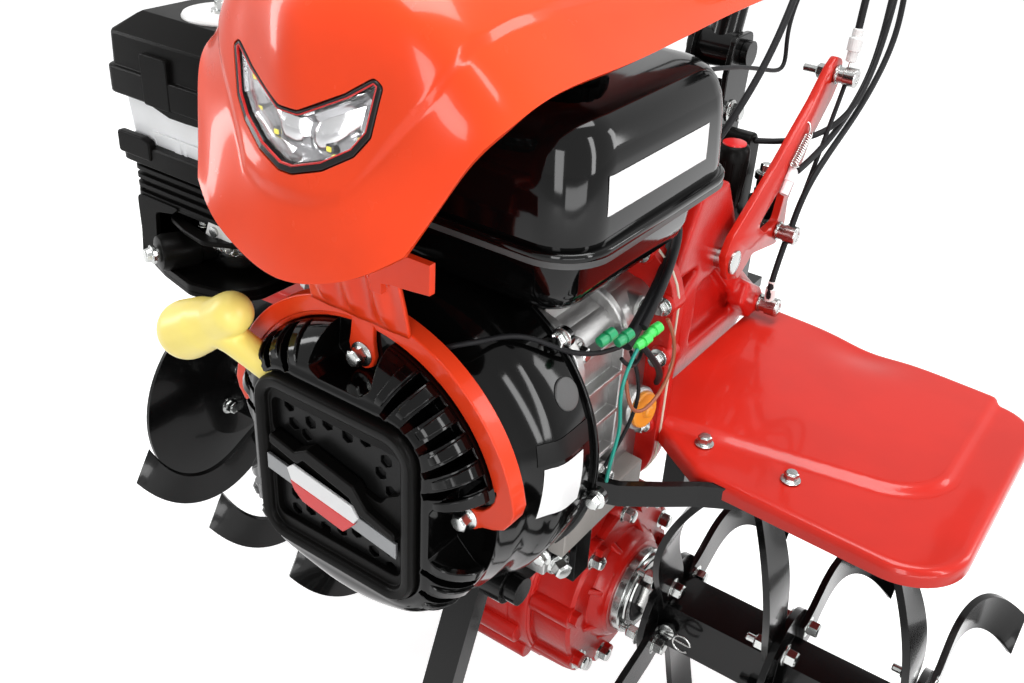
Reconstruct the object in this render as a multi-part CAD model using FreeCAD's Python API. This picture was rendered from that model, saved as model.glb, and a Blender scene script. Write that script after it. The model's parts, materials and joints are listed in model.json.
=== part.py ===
"""Walk-behind rotary tiller with a geared transmission, parked on its front wheel and tines.

Axes: +X the machine's left, -Y the front (starter side), +Z up. The tine axle is the X line
through y = 0 and the floor is z = 0. Millimetres.
"""
import FreeCAD, Part
import math
import os

V = FreeCAD.Vector

# driving dimensions
TINE_R = 180.0            # blade tip circle
AXLE_Z = TINE_R           # tine axle above the floor, tips on the floor
CRANK_Z = 435.0           # engine crankshaft above the floor
CRANK_DROP = 106.0        # crankshaft above the engine's feet
ENGINE_FRONT_Y = -300.0   # face of the starter grille
GRILLE_SIDE = 142.0       # square starter grille
GRILLE_DEPTH = 20.0       # height of the grille's frame in front of the fan cover
FAN_R = 116.0             # fan cover, front radius
FAN_DEPTH = 98.0          # hoop to the cover's rear rim
HOOP_BAND = 14.0          # guard hoop, radial width
HOOP_W = 12.0             # guard hoop, front to back
PTO_Y = ENGINE_FRONT_Y + 262.0   # engine's rear mounting face
HEX_AF = 32.0             # hexagonal axle, across flats
ROTOR_IN_X = 124.0        # rotor's inner end from the machine's middle
FLANGE_X = (134.0, 248.0, 362.0)   # blade flanges, from the middle
FLANGE_R = 52.0
FLANGE_T = 6.0
DISC_X = 440.0            # side disc
DISC_R = 127.0
DISC_T = 4.0
DISC_DISH = 14.0          # depth of the side disc's dish
BLADE_T = 6.0
BLADE_W = 38.0
BLADE_BITE = 0.6          # blade set into its flange by the weld
BLADE_PHASE = 112.0       # first blade's stem from the rearward axis, towards the top
SOCKET_SIDE = 48.0        # square rotor socket tube
INNER_TUBE_SIDE = 38.0    # square extension tube
TANK_HALF_X = 126.0
TANK_Y0 = -212.0
TANK_Y1 = 4.0
TANK_Z0 = CRANK_Z + 121.0
TANK_SEAM_Z = TANK_Z0 + 58.0
TANK_Z1 = TANK_SEAM_Z + 84.0
SEAM_LIP = 5.0            # tank seam beyond its walls
HOOD_T = 4.0              # hood wall
HOOD_HALF_X = 116.0
HOOD_FRONT_Y = ENGINE_FRONT_Y - 19.0   # hood's face at the lamp
HOOD_TOP_Z = TANK_Z1 + 86.0
LAMP_Z = HOOD_TOP_Z - 57.0   # lamp's upper tips
LAMP_HALF_X = 57.0
CLEANER_GAP = 9.0         # tank to air cleaner and to muffler
CLEANER_W = 128.0
RAIL_X = 62.0             # frame rail centre from the middle
RAIL_W = 20.0
RAIL_H = 28.0
ENGINE_SPACER = 15.0      # between the rails and the engine's feet
WHEEL_R = 85.0            # front wheel
WHEEL_W = 38.0
WHEEL_Y = -262.0
LEG_W = 27.0              # front leg, square tube
LEG_D = 20.0
WHEEL_SIDE_GAP = 5.0      # tyre to leg
LEG_PIVOT_Y = -178.0
LEG_BOSS_R = 16.0
GEAR_R = 96.0             # gear case drum
GEAR_HALF_X = 80.0
FENDER_Z = AXLE_Z + TINE_R + 28.5   # underside of the fenders
FENDER_T = 4.0
FENDER_IN_X = 112.0
FENDER_OUT_X = 370.0
BAR_TUBE_R = 14.0         # handlebar tube radius
COLUMN_R = 15.0           # handlebar column
HOUSING_TOP_Z = CRANK_Z + 97.0
TAIL_Y = 222.0            # middle of the handlebar bracket
BAR_PIVOT = (TAIL_Y + 14, HOUSING_TOP_Z + 100)   # handlebar hinge, (y, z)
CHEEK_T = 6.0
LEVER_X = 92.0            # clutch plate, inner face
LEVER_T = 6.0
KNOB_R = 14.0
PIN_R = 8.0               # pivot pins
GAP = 0.5                 # running gap between bodies


def box(x0, x1, y0, y1, z0, z1):
    return Part.makeBox(x1 - x0, y1 - y0, z1 - z0, V(x0, y0, z0))


def cyl_x(x0, x1, y, z, r):
    return Part.makeCylinder(r, x1 - x0, V(x0, y, z), V(1, 0, 0))


def cyl_y(x, y0, y1, z, r):
    return Part.makeCylinder(r, y1 - y0, V(x, y0, z), V(0, 1, 0))


def cyl_z(x, y, z0, z1, r):
    return Part.makeCylinder(r, z1 - z0, V(x, y, z0), V(0, 0, 1))


def prism_x(points, x0, x1):
    """Extrude a (y, z) outline along X."""
    wire = Part.makePolygon([V(x0, y, z) for y, z in points + points[:1]])
    return Part.Face(wire).extrude(V(x1 - x0, 0, 0))


def prism_y(points, y0, y1):
    """Extrude an (x, z) outline along Y."""
    wire = Part.makePolygon([V(x, y0, z) for x, z in points + points[:1]])
    return Part.Face(wire).extrude(V(0, y1 - y0, 0))


def prism_z(points, z0, z1):
    """Extrude an (x, y) outline along Z."""
    wire = Part.makePolygon([V(x, y, z0) for x, y in points + points[:1]])
    return Part.Face(wire).extrude(V(0, 0, z1 - z0))


def turned_x(profile, y, z):
    """Revolve an (x, radius) profile, open towards the axis, about the X line through (y, z)."""
    wire = Part.makePolygon([V(x, y, z + r) for x, r in profile + profile[:1]])
    return Part.Face(wire).revolve(V(0, y, z), V(1, 0, 0), 360)


def turned_y(profile, x, z):
    """Revolve a (y, radius) profile about the Y line through (x, z)."""
    wire = Part.makePolygon([V(x, y, z + r) for y, r in profile + profile[:1]])
    return Part.Face(wire).revolve(V(x, 0, z), V(0, 1, 0), 360)


def fuse(shapes):
    out = shapes[0]
    if len(shapes) > 1:
        out = out.multiFuse(shapes[1:])
    return out.removeSplitter()


def cut(shape, tools):
    for tool in tools:
        shape = shape.cut(tool)
    return shape


def along(edge, axis):
    """True for a straight edge parallel to the axis."""
    if edge.Curve.TypeId != "Part::GeomLine":
        return False
    return abs(abs(edge.tangentAt(edge.FirstParameter).dot(axis)) - 1) < 1e-6


def rounded(shape, r, pick):
    """Fillet the edges that pick() chooses."""
    return shape.makeFillet(r, [e for e in shape.Edges if pick(e)])


def rounded_box(x0, x1, y0, y1, z0, z1, r, axis):
    """Box with the four edges along the axis rounded."""
    return rounded(box(x0, x1, y0, y1, z0, z1), r, lambda e: along(e, axis))


def tube_path(points, r, bend):
    """Round bar through the points with rounded corners."""
    pts = [V(*p) for p in points]
    edges = []
    start = pts[0]
    for i in range(1, len(pts) - 1):
        a = (pts[i - 1] - pts[i]).normalize()
        b = (pts[i + 1] - pts[i]).normalize()
        half = math.acos(max(-1, min(1, a.dot(b)))) / 2
        cut_back = bend / math.tan(half)
        p0 = pts[i] + a * cut_back
        p1 = pts[i] + b * cut_back
        mid = (a + b).normalize()
        centre = pts[i] + mid * (bend / math.sin(half))
        edges.append(Part.makeLine(start, p0))
        edges.append(Part.Arc(p0, centre - mid * bend, p1).toShape())
        start = p1
    edges.append(Part.makeLine(start, pts[-1]))
    path = Part.Wire(edges)
    direction = (pts[1] - pts[0]).normalize()
    ring = Part.Wire(Part.makeCircle(r, pts[0], direction))
    return path.makePipeShell([ring], True, False)


def mirrored(shape):
    return shape.mirror(V(0, 0, 0), V(1, 0, 0))


def both(shape):
    """The shape and its mirror image across the middle plane."""
    return [shape, mirrored(shape)]


def hexagon_x(x0, x1, y, z, across_flats):
    r = across_flats / 2 / math.cos(math.pi / 6)
    pts = [(y + r * math.cos(math.radians(60 * i)), z + r * math.sin(math.radians(60 * i))) for i in range(6)]
    return prism_x(pts, x0, x1)


def spun_y(shape, angle):
    """The shape turned about the crankshaft."""
    out = shape.copy()
    out.rotate(V(0, 0, CRANK_Z), V(0, 1, 0), angle)
    return out


parts = {}
feet_z = CRANK_Z - CRANK_DROP

# engine: crankcase, cylinder leaning to the right, foot plates
hoop_y0 = ENGINE_FRONT_Y + GRILLE_DEPTH + 17
hoop_y1 = hoop_y0 + HOOP_W
fan_y1 = hoop_y0 + FAN_DEPTH
crank_half = 96.0
crankcase = rounded_box(-crank_half + 4, crank_half, fan_y1, PTO_Y, feet_z + 10, CRANK_Z + 88, 18, V(0, 1, 0))
feet = box(-crank_half + 8, crank_half - 4, fan_y1 + 8, PTO_Y - 8, feet_z, feet_z + 14)
saddle = box(-70, 70, fan_y1 + 12, PTO_Y - 12, CRANK_Z + 60, TANK_Z0)
cylinder_y = (fan_y1 + PTO_Y) / 2 + 8
fin_half = 44.0
fins = [rounded_box(-62, 62, cylinder_y - fin_half, cylinder_y + fin_half, z, z + 5, 12, V(0, 0, 1)) for z in range(80, 166, 11)]
barrel = fuse([Part.makeCylinder(44, 172, V(0, cylinder_y, 0)), box(-52, 52, cylinder_y - fin_half + 4, cylinder_y + fin_half - 4, 166, 186)] + fins)
barrel.rotate(V(0, 0, 0), V(0, 1, 0), -65)
barrel.translate(V(-30, 0, CRANK_Z + 12))
engine = fuse([crankcase, feet, saddle, barrel])
parts["engine_block"] = engine.cut(box(-400, 400, -400, 100, 0, feet_z))

# recoil starter's outline, and the fan cover that widens from it to a round drum
grille_h = GRILLE_SIDE / 2
grille_back = ENGINE_FRONT_Y + GRILLE_DEPTH
GRILLE_CORNER = 24.0
starter = rounded_box(-grille_h, grille_h, ENGINE_FRONT_Y, grille_back, CRANK_Z - grille_h, CRANK_Z + grille_h,
                      GRILLE_CORNER, V(0, 1, 0))


def turned_corner(points, quarter, y):
    """(x, height over the crankshaft) points turned by quarter turns about the crankshaft."""
    a = math.radians(90 * quarter)
    return [V(x * math.cos(a) - h * math.sin(a), y, CRANK_Z + x * math.sin(a) + h * math.cos(a)) for x, h in points]


def square_ring(half, r, y):
    """Rounded square about the crankshaft: four sides and four corner arcs."""
    k = half - r
    d = r * math.sqrt(0.5)
    edges = []
    for quarter in range(4):
        a, b, m, c = turned_corner([(half, -k), (half, k), (k + d, k + d), (k, half)], quarter, y)
        edges += [Part.makeLine(a, b), Part.Arc(b, m, c).toShape()]
    return Part.Wire(edges)


def round_ring(radius, split, y):
    """Circle about the crankshaft in eight arcs, split at the given angle each side of the axes."""
    def on(angle):
        return (radius * math.cos(angle), radius * math.sin(angle))

    edges = []
    for quarter in range(4):
        a, m0, b, m1, c = turned_corner([on(-split), on(0), on(split), on(math.pi / 4), on(math.pi / 2 - split)], quarter, y)
        edges += [Part.Arc(a, m0, b).toShape(), Part.Arc(b, m1, c).toShape()]
    return Part.Wire(edges)


# fan cover: shoulder with radial air slots, round drum, flat underneath
fan_rear_r = FAN_R + 13
cover_y = ENGINE_FRONT_Y + 7
cover_h = grille_h + 4
split = math.atan2(cover_h - 30, cover_h)
shoulder = Part.makeLoft([square_ring(cover_h, 30, cover_y), round_ring(FAN_R, split, hoop_y0)], True, True)
drum = turned_y([(hoop_y0, 0), (hoop_y0, FAN_R), (hoop_y1 + 18, FAN_R + 2), (fan_y1 - 52, fan_rear_r - 4),
                 (fan_y1 - 34, fan_rear_r), (fan_y1, fan_rear_r), (fan_y1, 0)], 0, CRANK_Z)
wing = rounded_box(-FAN_R - 20, -FAN_R / 2, fan_y1 - 44, fan_y1, CRANK_Z, CRANK_Z + 118, 14, V(0, 1, 0))
drum = fuse([shoulder, drum, wing]).cut(starter)
drum = cut(drum, [box(-200, 200, -400, 0, 0, feet_z - 6), box(-200, 200, TANK_Y0, 0, TANK_Z0 - 1, TANK_Z1)])
ear_x = FAN_R - 28
tab_z = CRANK_Z + FAN_R - 23
pockets = both(box(ear_x - 11, FAN_R + 2, ENGINE_FRONT_Y, hoop_y0, CRANK_Z - 18, CRANK_Z + 18))
pockets.append(box(-18, 18, ENGINE_FRONT_Y, hoop_y0, tab_z - 14, CRANK_Z + FAN_R + 2))
drum = cut(drum, pockets)
slots = []
for i in range(40):
    angle = 9 * (i + 0.5)
    from_pocket = min(abs((angle - p + 180) % 360 - 180) for p in (0, 90, 180))
    if from_pocket > 13:
        reach = 12 * abs(math.sin(math.radians(2 * angle)))
        slot = box(-2.4, 2.4, ENGINE_FRONT_Y, hoop_y0 - 6, CRANK_Z + cover_h + 5 + reach, CRANK_Z + FAN_R - 7)
        slots.append(spun_y(slot, angle - 90))
parts["fan_cover"] = drum.cut(Part.makeCompound(slots))

# recoil starter: square housing, framed mesh windows above and below a label band
rim = 11.0
band_h = 17.0
for z0, z1 in ((CRANK_Z + band_h, CRANK_Z + grille_h - rim), (CRANK_Z - grille_h + rim, CRANK_Z - band_h)):
    window = rounded_box(-grille_h + rim, grille_h - rim, ENGINE_FRONT_Y - 1, ENGINE_FRONT_Y + 8, z0, z1, 10, V(0, 1, 0))
    starter = starter.cut(window)
    holes = []
    for row in range(2):
        for k in range(5):
            x = (k - 2) * 22 + (row - 0.5) * 11
            z = z0 + 11 + row * 16
            holes.append(cyl_y(x, ENGINE_FRONT_Y, ENGINE_FRONT_Y + 14, z, 5.5))
    starter = starter.cut(Part.makeCompound(holes))
starter = starter.cut(box(-grille_h + rim, grille_h - rim, ENGINE_FRONT_Y - 1, ENGINE_FRONT_Y + 2,
                          CRANK_Z - band_h, CRANK_Z + band_h))
parts["recoil_starter"] = starter

# guard hoop, open below, its two ends bolted to the cover, a ribbed plate up to the hood
hoop_r = FAN_R + HOOP_BAND
hoop = cyl_y(0, hoop_y0, hoop_y1, CRANK_Z, hoop_r).cut(cyl_y(0, hoop_y0 - 1, hoop_y1 + 1, CRANK_Z, FAN_R + 2 + GAP))
hoop = hoop.cut(box(-200, 200, hoop_y0 - 1, hoop_y1 + 1, 0, CRANK_Z - 10))
ear = fuse([cyl_y(ear_x, hoop_y0 - 5, hoop_y0, CRANK_Z, 9), box(ear_x, hoop_r - 3, hoop_y0 - 5, hoop_y0, CRANK_Z - 9, CRANK_Z + 9)])
tab = fuse([cyl_y(0, hoop_y0 - 5, hoop_y0, tab_z, 11), box(-11, 11, hoop_y0 - 5, hoop_y0, tab_z, CRANK_Z + FAN_R + 8)])
ears = both(ear) + [tab]
plate_top = TANK_SEAM_Z - 12
plate = prism_x([(hoop_y0 - 4, CRANK_Z + hoop_r - 8), (hoop_y0, CRANK_Z + hoop_r - 8), (hoop_y0, CRANK_Z + hoop_r), (hoop_y0 - 12, plate_top),
                 (hoop_y0 - 16, plate_top), (hoop_y0 - 4, CRANK_Z + hoop_r)], -42, 42)
ribs = [prism_x([(hoop_y0 - 1, CRANK_Z + hoop_r - 2), (hoop_y0 - 13, plate_top), (hoop_y0 - 21, plate_top),
                 (hoop_y0 - 9, CRANK_Z + hoop_r - 2)], x - 6, x + 6) for x in (-24, 0, 24)]
hoop_body = fuse([hoop, plate] + ears + ribs)
parts["guard_hoop"] = hoop_body.cut(drum)

# pull handle: a knuckled T grip on a short neck at the starter's upper right corner
grip_x = -grille_h - 37
grip_z = CRANK_Z + grille_h + 19.5
grip_y = ENGINE_FRONT_Y + 6
neck = Part.makeCone(11, 9, 62, V(grip_x + 62, hoop_y0 - 16, grip_z - 28), V(-0.87, -0.25, 0.4))
lobes = [(grip_x - 32, grip_z - 18, 23), (grip_x - 10, grip_z - 4, 21), (grip_x + 12, grip_z + 9, 18),
         (grip_x + 24, grip_z + 16, 17)]
grip = [Part.makeSphere(r, V(x, grip_y, z)) for x, z, r in lobes]
for (xa, za, ra), (xb, zb, rb) in zip(lobes, lobes[1:]):
    d = V(xb - xa, 0, zb - za)
    grip.append(Part.makeCone(ra * 0.96, rb * 0.96, d.Length, V(xa, grip_y, za), d))
handle = fuse(grip + [neck])
parts["pull_handle"] = cut(handle, [drum, parts["guard_hoop"], parts["recoil_starter"]])

# fuel tank: two pressed halves joined at a seam
corner = 30.0
upper = rounded_box(-TANK_HALF_X, TANK_HALF_X, TANK_Y0, TANK_Y1, TANK_SEAM_Z, TANK_Z1, corner, V(0, 0, 1))
upper = rounded(upper, 16, lambda e: abs(e.BoundBox.ZMin - TANK_Z1) < 0.1 and abs(e.BoundBox.ZMax - TANK_Z1) < 0.1)
inset = 14.0
lower = rounded_box(-TANK_HALF_X + inset, TANK_HALF_X - inset, TANK_Y0 + inset, TANK_Y1 - inset, TANK_Z0, TANK_SEAM_Z,
                    corner - 8, V(0, 0, 1))
seam = rounded_box(-TANK_HALF_X - SEAM_LIP, TANK_HALF_X + SEAM_LIP, TANK_Y0 - SEAM_LIP, TANK_Y1 + SEAM_LIP,
                   TANK_SEAM_Z - 3, TANK_SEAM_Z + 3, corner + SEAM_LIP, V(0, 0, 1))
parts["fuel_tank"] = fuse([upper, lower, seam])
cap = fuse([cyl_z(44, -110, TANK_Z1, TANK_Z1 + 8, 24), cyl_z(44, -110, TANK_Z1 + 8, TANK_Z1 + 24, 30)])
grips = [cyl_z(44 + 31 * math.cos(math.radians(30 * i)), -110 + 31 * math.sin(math.radians(30 * i)),
               TANK_Z1 + 7, TANK_Z1 + 25, 3.5) for i in range(12)]
parts["fuel_cap"] = cap.cut(Part.makeCompound(grips))

# hood: a curved shell over the tank. Each row runs from the middle to the left edge, front lip to rear
hood_rows = [
    [(0, -17, -172), (0.34, -13, -163), (0.56, -8, -150), (0.7, 0, -138)],
    [(0, -12, -144), (0.35, -8, -139), (0.62, 0, -130), (0.79, 12, -116)],
    [(0, -4, -112), (0.36, 2, -108), (0.68, 10, -100), (0.89, 24, -88)],
    [(0, 0, -75), (0.38, 5, -72), (0.73, 15, -68), (0.98, 43, -71)],
    [(0, 3, -44), (0.4, 8, -43), (0.75, 25, -44), (1, 68, -63)],
    [(0, 14, -18), (0.4, 20, -18), (0.75, 46, -32), (1, 98, -60)],
    [(0, 42, -3), (0.4, 48, -5), (0.74, 76, -27), (1, 134, -60)],
    [(0, 90, 3), (0.4, 94, 0), (0.76, 122, -26), (0.99, 170, -61)],
    [(0, 170, 0), (0.4, 171, -4), (0.78, 188, -29), (0.98, 224, -60)],
    [(0, 249, -9), (0.4, 250, -12), (0.8, 258, -32), (0.97, 282, -58)],
    [(0, 320, -17), (0.4, 320, -19), (0.8, 320, -36), (0.96, 332, -57)],
    [(0, 386, -26), (0.4, 386, -28), (0.79, 386, -40), (0.95, 388, -57)]]


def hood_grid():
    """Points of the hood's outer skin, from the right edge to the left, row by row."""
    grid = []
    for row in hood_rows:
        left = [V(HOOD_HALF_X * x, HOOD_FRONT_Y + y, HOOD_TOP_Z + z) for x, y, z in row]
        grid.append([V(-p.x, p.y, p.z) for p in left[:0:-1]] + left)
    return grid


def offset_grid(grid, depth):
    """The grid moved inwards along its own normals."""
    rows = len(grid)
    cols = len(grid[0])
    out = []
    for i in range(rows):
        line = []
        for j in range(cols):
            down = grid[min(i + 1, rows - 1)][j] - grid[max(i - 1, 0)][j]
            side = grid[i][min(j + 1, cols - 1)] - grid[i][max(j - 1, 0)]
            line.append(grid[i][j] - side.cross(down).normalize() * depth)
        out.append(line)
    return out


def skin(grid):
    """Cubic surface drawn close to the grid by moving its poles twice."""
    knots = [list(range(n - 2)) for n in (len(grid), len(grid[0]))]
    mults = [[4] + [1] * (len(k) - 2) + [4] for k in knots]
    full = [[k[0]] * 3 + k + [k[-1]] * 3 for k in knots]
    poles = [[V(p) for p in row] for row in grid]
    surface = Part.BSplineSurface()
    for step in range(2):
        surface.buildFromPolesMultsKnots(poles, mults[0], mults[1], knots[0], knots[1], False, False, 3, 3)
        for i, row in enumerate(grid):
            u = sum(full[0][i + 1:i + 4]) / 3
            for j, target in enumerate(row):
                v = sum(full[1][j + 1:j + 4]) / 3
                poles[i][j] = poles[i][j] + (target - surface.value(u, v))
    surface.buildFromPolesMultsKnots(poles, mults[0], mults[1], knots[0], knots[1], False, False, 3, 3)
    return surface


def shell_between(outer, inner):
    """Closed solid between two skins with matching edges."""
    faces = [outer.toShape(), inner.toShape()]
    u0, u1, v0, v1 = outer.bounds()
    a0, a1, b0, b1 = inner.bounds()
    pairs = [(outer.uIso(u0), inner.uIso(a0)), (outer.uIso(u1), inner.uIso(a1)),
             (outer.vIso(v0), inner.vIso(b0)), (outer.vIso(v1), inner.vIso(b1))]
    faces += [Part.makeRuledSurface(a.toShape(), b.toShape()) for a, b in pairs]
    joined = Part.Compound(faces)
    joined.sewShape()
    solid = Part.Solid(Part.Shell(joined.Faces))
    if solid.Volume < 0:
        solid.reverse()
    return solid


outer_grid = hood_grid()
hood_skin = skin(outer_grid)
hood = shell_between(hood_skin, skin(offset_grid(outer_grid, HOOD_T)))

# headlamp: a broad V with a notch in its upper edge
lamp_drop = 54.0
lamp_outline = [(0, LAMP_Z - lamp_drop), (36, LAMP_Z - lamp_drop + 3), (52, LAMP_Z - 34), (LAMP_HALF_X + 3, LAMP_Z - 30),
                (LAMP_HALF_X + 1, LAMP_Z), (LAMP_HALF_X - 4, LAMP_Z + 1), (16, LAMP_Z - 20), (0, LAMP_Z - 17)]
lamp_outline = lamp_outline + [(-x, z) for x, z in lamp_outline[-2:0:-1]]
lamp_prism = prism_y(lamp_outline, HOOD_FRONT_Y - 30, HOOD_FRONT_Y + 60)
lens = hood_skin.toShape().extrude(V(0, 26, 0))
lens.translate(V(0, 1, 0))
parts["headlamp"] = lens.common(lamp_prism)
parts["hood"] = hood.cut(lamp_prism)


def inside_hood(shape):
    """The lowest piece of the shape once the hood has cut it."""
    return min(shape.cut(hood).Solids, key=lambda solid: solid.BoundBox.ZMin + 10 * abs(solid.CenterOfMass.y - TANK_Y0) / 100)


# carriers of the hood: a folded plate on the guard hoop and a strap on the tank
fold_z = plate_top + 34
fold = prism_x([(hoop_y0 - 17, plate_top - 6), (hoop_y0 - 12, plate_top - 6), (hoop_y0 - 24, fold_z), (HOOD_FRONT_Y - 30, fold_z),
                (HOOD_FRONT_Y - 30, fold_z - 5), (hoop_y0 - 29, fold_z - 5)], -36, 36)
side_tab = box(30, 76, hoop_y0 - 27, hoop_y0 - 22, plate_top - 6, plate_top + 26)
parts["hood_bracket"] = inside_hood(fuse([fold, side_tab])).cut(parts["guard_hoop"])
strap_y = (TANK_Y0 + TANK_Y1) / 2 + 60
strap = fuse([box(-24, 24, strap_y - 12, strap_y + 12, TANK_Z1, TANK_Z1 + 5), box(-24, 24, strap_y - 2, strap_y + 2, TANK_Z1, HOOD_TOP_Z + 30)])
parts["hood_strap"] = inside_hood(strap)

# air cleaner, its intake housing and the carburettor, right of the tank
ac_x1 = -TANK_HALF_X - CLEANER_GAP
ac_x0 = ac_x1 - CLEANER_W
ac_y0 = -248.0
ac_y1 = -112.0
lid_z0 = TANK_SEAM_Z + 28
lid = rounded_box(ac_x0, ac_x1, ac_y0, ac_y1, lid_z0, TANK_Z1 + 2, 12, V(0, 0, 1))
bevel = 18.0
lid = cut(lid, [prism_x([(ac_y0 - 1, TANK_Z1 + 3 - bevel), (ac_y0 - 1, TANK_Z1 + 4), (ac_y0 + bevel, TANK_Z1 + 4)], ac_x0 - 1, ac_x1 + 1),
                prism_y([(ac_x0 - 1, TANK_Z1 + 3 - bevel), (ac_x0 - 1, TANK_Z1 + 4), (ac_x0 + bevel, TANK_Z1 + 4)], ac_y0 - 1, ac_y1 + 1)])
groove = rounded_box(ac_x0 - 2, ac_x1 + 2, ac_y0 - 2, ac_y1 + 2, lid_z0 + 16, lid_z0 + 18, 13, V(0, 0, 1)).cut(
    rounded_box(ac_x0 + 1.5, ac_x1 - 1.5, ac_y0 + 1.5, ac_y1 - 1.5, lid_z0 + 15, lid_z0 + 19, 11, V(0, 0, 1)))
parts["air_cleaner_lid"] = fuse([lid.cut(groove), cyl_z((ac_x0 + ac_x1) / 2, (ac_y0 + ac_y1) / 2, TANK_Z1, TANK_Z1 + 14, 15)])
bowl_z0 = lid_z0 - 38
parts["air_cleaner_bowl"] = rounded_box(ac_x0 + 7, ac_x1 - 7, ac_y0 + 7, ac_y1 - 7, bowl_z0, lid_z0, 14, V(0, 0, 1))
base = rounded_box(ac_x0 + 2, ac_x1 - 2, ac_y0 + 2, ac_y1 - 2, bowl_z0 - 16, bowl_z0, 12, V(0, 0, 1))
parts["air_cleaner_base"] = fuse([base, rounded_box(ac_x0 + 8, ac_x1 - 8, ac_y0 + 8, ac_y1 - 8, bowl_z0 - 30, bowl_z0 - 16,
                                                    10, V(0, 0, 1))])
house_z1 = bowl_z0 - 30
house_z0 = house_z1 - 62
wall = prism_y([(ac_x0 + 10, house_z1), (ac_x0 + 42, house_z1), (ac_x0 + 42, house_z0), (ac_x0 + 22, house_z0)],
               ac_y0 + 6, ac_y1 - 32)
tray = rounded_box(ac_x0 + 22, ac_x1 - 8, ac_y0 + 4, ac_y1 - 32, house_z0 - 7, house_z0, 16, V(0, 0, 1))
ridges = [box(ac_x0 + 9, ac_x1 - 30, ac_y0 + 3, ac_y0 + 12, house_z1 - 12 * k - 5, house_z1 - 12 * k) for k in range(2)]
parts["control_housing"] = fuse([wall, tray] + ridges)
carb_x = ac_x1 - 48
carb_y = ac_y0 + 44
carb = fuse([cyl_z(carb_x, carb_y, house_z0, house_z1 - 6, 21), cyl_z(carb_x, carb_y, house_z0 + 22, house_z0 + 30, 26),
             box(carb_x - 26, carb_x + 30, carb_y - 14, carb_y + 26, house_z1 - 22, house_z1),
             cyl_y(carb_x, carb_y, cylinder_y - 20, house_z1 - 22, 15)])
parts["carburettor"] = max(carb.cut(parts["engine_block"]).Solids, key=lambda solid: solid.Volume)

# muffler behind the air cleaner
muf_y0 = ac_y1 + 48
muffler = rounded_box(ac_x0, ac_x1 - 2, muf_y0, muf_y0 + 106, TANK_Z0 + 20, TANK_Z1 - 8, 20, V(0, 1, 0))
louvres = [box(ac_x0 - 1, ac_x0 + 3, muf_y0 + 14 + 14 * k, muf_y0 + 20 + 14 * k, TANK_Z0 + 40, TANK_Z1 - 34) for k in range(6)]
parts["muffler"] = muffler.cut(Part.makeCompound(louvres))
exhaust_x = ac_x1 - 40
exhaust = fuse([cyl_z(exhaust_x, muf_y0 - 22, TANK_Z0 + 4, TANK_Z0 + 60, 15), cyl_y(exhaust_x, muf_y0 - 22, muf_y0 + 12, TANK_Z0 + 46, 15)])
exhaust = cut(exhaust, [parts["engine_block"], parts["muffler"]])
parts["exhaust_pipe"] = max(exhaust.Solids, key=lambda solid: solid.Volume)

# frame: two rails under the engine, cross bar, engine spacers and fender stays
rail_z1 = feet_z - ENGINE_SPACER
rail_z0 = rail_z1 - RAIL_H
pivot_z = (rail_z0 + rail_z1) / 2
rail_x0 = RAIL_X - RAIL_W / 2
rail_x1 = RAIL_X + RAIL_W / 2
rail = box(rail_x0, rail_x1, LEG_PIVOT_Y, 64, rail_z0, rail_z1)
boss = cyl_x(rail_x0, rail_x1, LEG_PIVOT_Y, pivot_z, LEG_BOSS_R)
spacers = [cyl_z(RAIL_X, y, rail_z1, feet_z, 9) for y in (-140, -66)]
frame = both(fuse([rail, boss] + spacers))
frame.append(box(-rail_x0, rail_x0, -132, -116, rail_z0, rail_z1))
parts["frame"] = fuse(frame).cut(cyl_x(-100, 100, LEG_PIVOT_Y, pivot_z, PIN_R + GAP))

stay_h = 20.0
post_x = crank_half + 2
stay_path = [(post_x + 6, -124), (126, -116), (151, -97), (175, -77), (206, -58)]
stay_outline = [(post_x, -128)] + stay_path + [(203, -52)]
stay_outline += [(x - 3, y + 6) for x, y in stay_path[-2::-1]] + [(post_x, -118)]
stay = prism_z(stay_outline, FENDER_Z - stay_h, FENDER_Z)
post = box(post_x, post_x + 6, -134, -112, rail_z0 + 4, FENDER_Z)
foot = box(rail_x1, post_x + 6, -134, -112, rail_z0 + 4, rail_z0 + 10)
parts["fender_stays"] = Part.makeCompound(both(fuse([stay, post, foot])))

# gear case: a bolted drum round the axle, its neck up to the housing
boss_x = GEAR_HALF_X + 16
drum_x = GEAR_HALF_X / 2
axle_hole = cyl_x(-200, 200, 0, AXLE_Z, HEX_AF / 2 / math.cos(math.pi / 6) + GAP)
half_case = [(0, 0), (0, GEAR_R), (drum_x - 4, GEAR_R), (drum_x, GEAR_R - 4), (drum_x, GEAR_R - 8), (GEAR_HALF_X - 3, GEAR_R - 8),
             (GEAR_HALF_X, GEAR_R - 11), (GEAR_HALF_X, 58), (boss_x - 6, 52), (boss_x, 48), (boss_x, 0)]
shell = turned_x(half_case, 0, AXLE_Z)
bolt_r = 7.0
bolt_pad = 11.0
pads = []
for angle in (75, 125, 170, 215, 262, 310, 355):
    a = math.radians(angle)
    py = (GEAR_R - 12) * math.cos(a)
    pz = AXLE_Z + (GEAR_R - 12) * math.sin(a)
    pads.append(cyl_x(drum_x, GEAR_HALF_X, py, pz, bolt_pad))
    pads.append(hexagon_x(GEAR_HALF_X, GEAR_HALF_X + 7, py, pz, 2 * bolt_r - 1))
neck = prism_x([(-66, AXLE_Z + 40), (70, AXLE_Z + 40), (84, CRANK_Z - 135), (-60, CRANK_Z - 135)], -drum_x - 8, drum_x + 8)
lug = prism_x([(-80, rail_z0), (-17, rail_z0), (-20, rail_z0 - 10), (-44, rail_z0 - 34), (-70, rail_z0 - 34)], drum_x, rail_x1)
case = both(fuse([shell] + pads + [lug])) + [neck]
gear_case = fuse(case)
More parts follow.
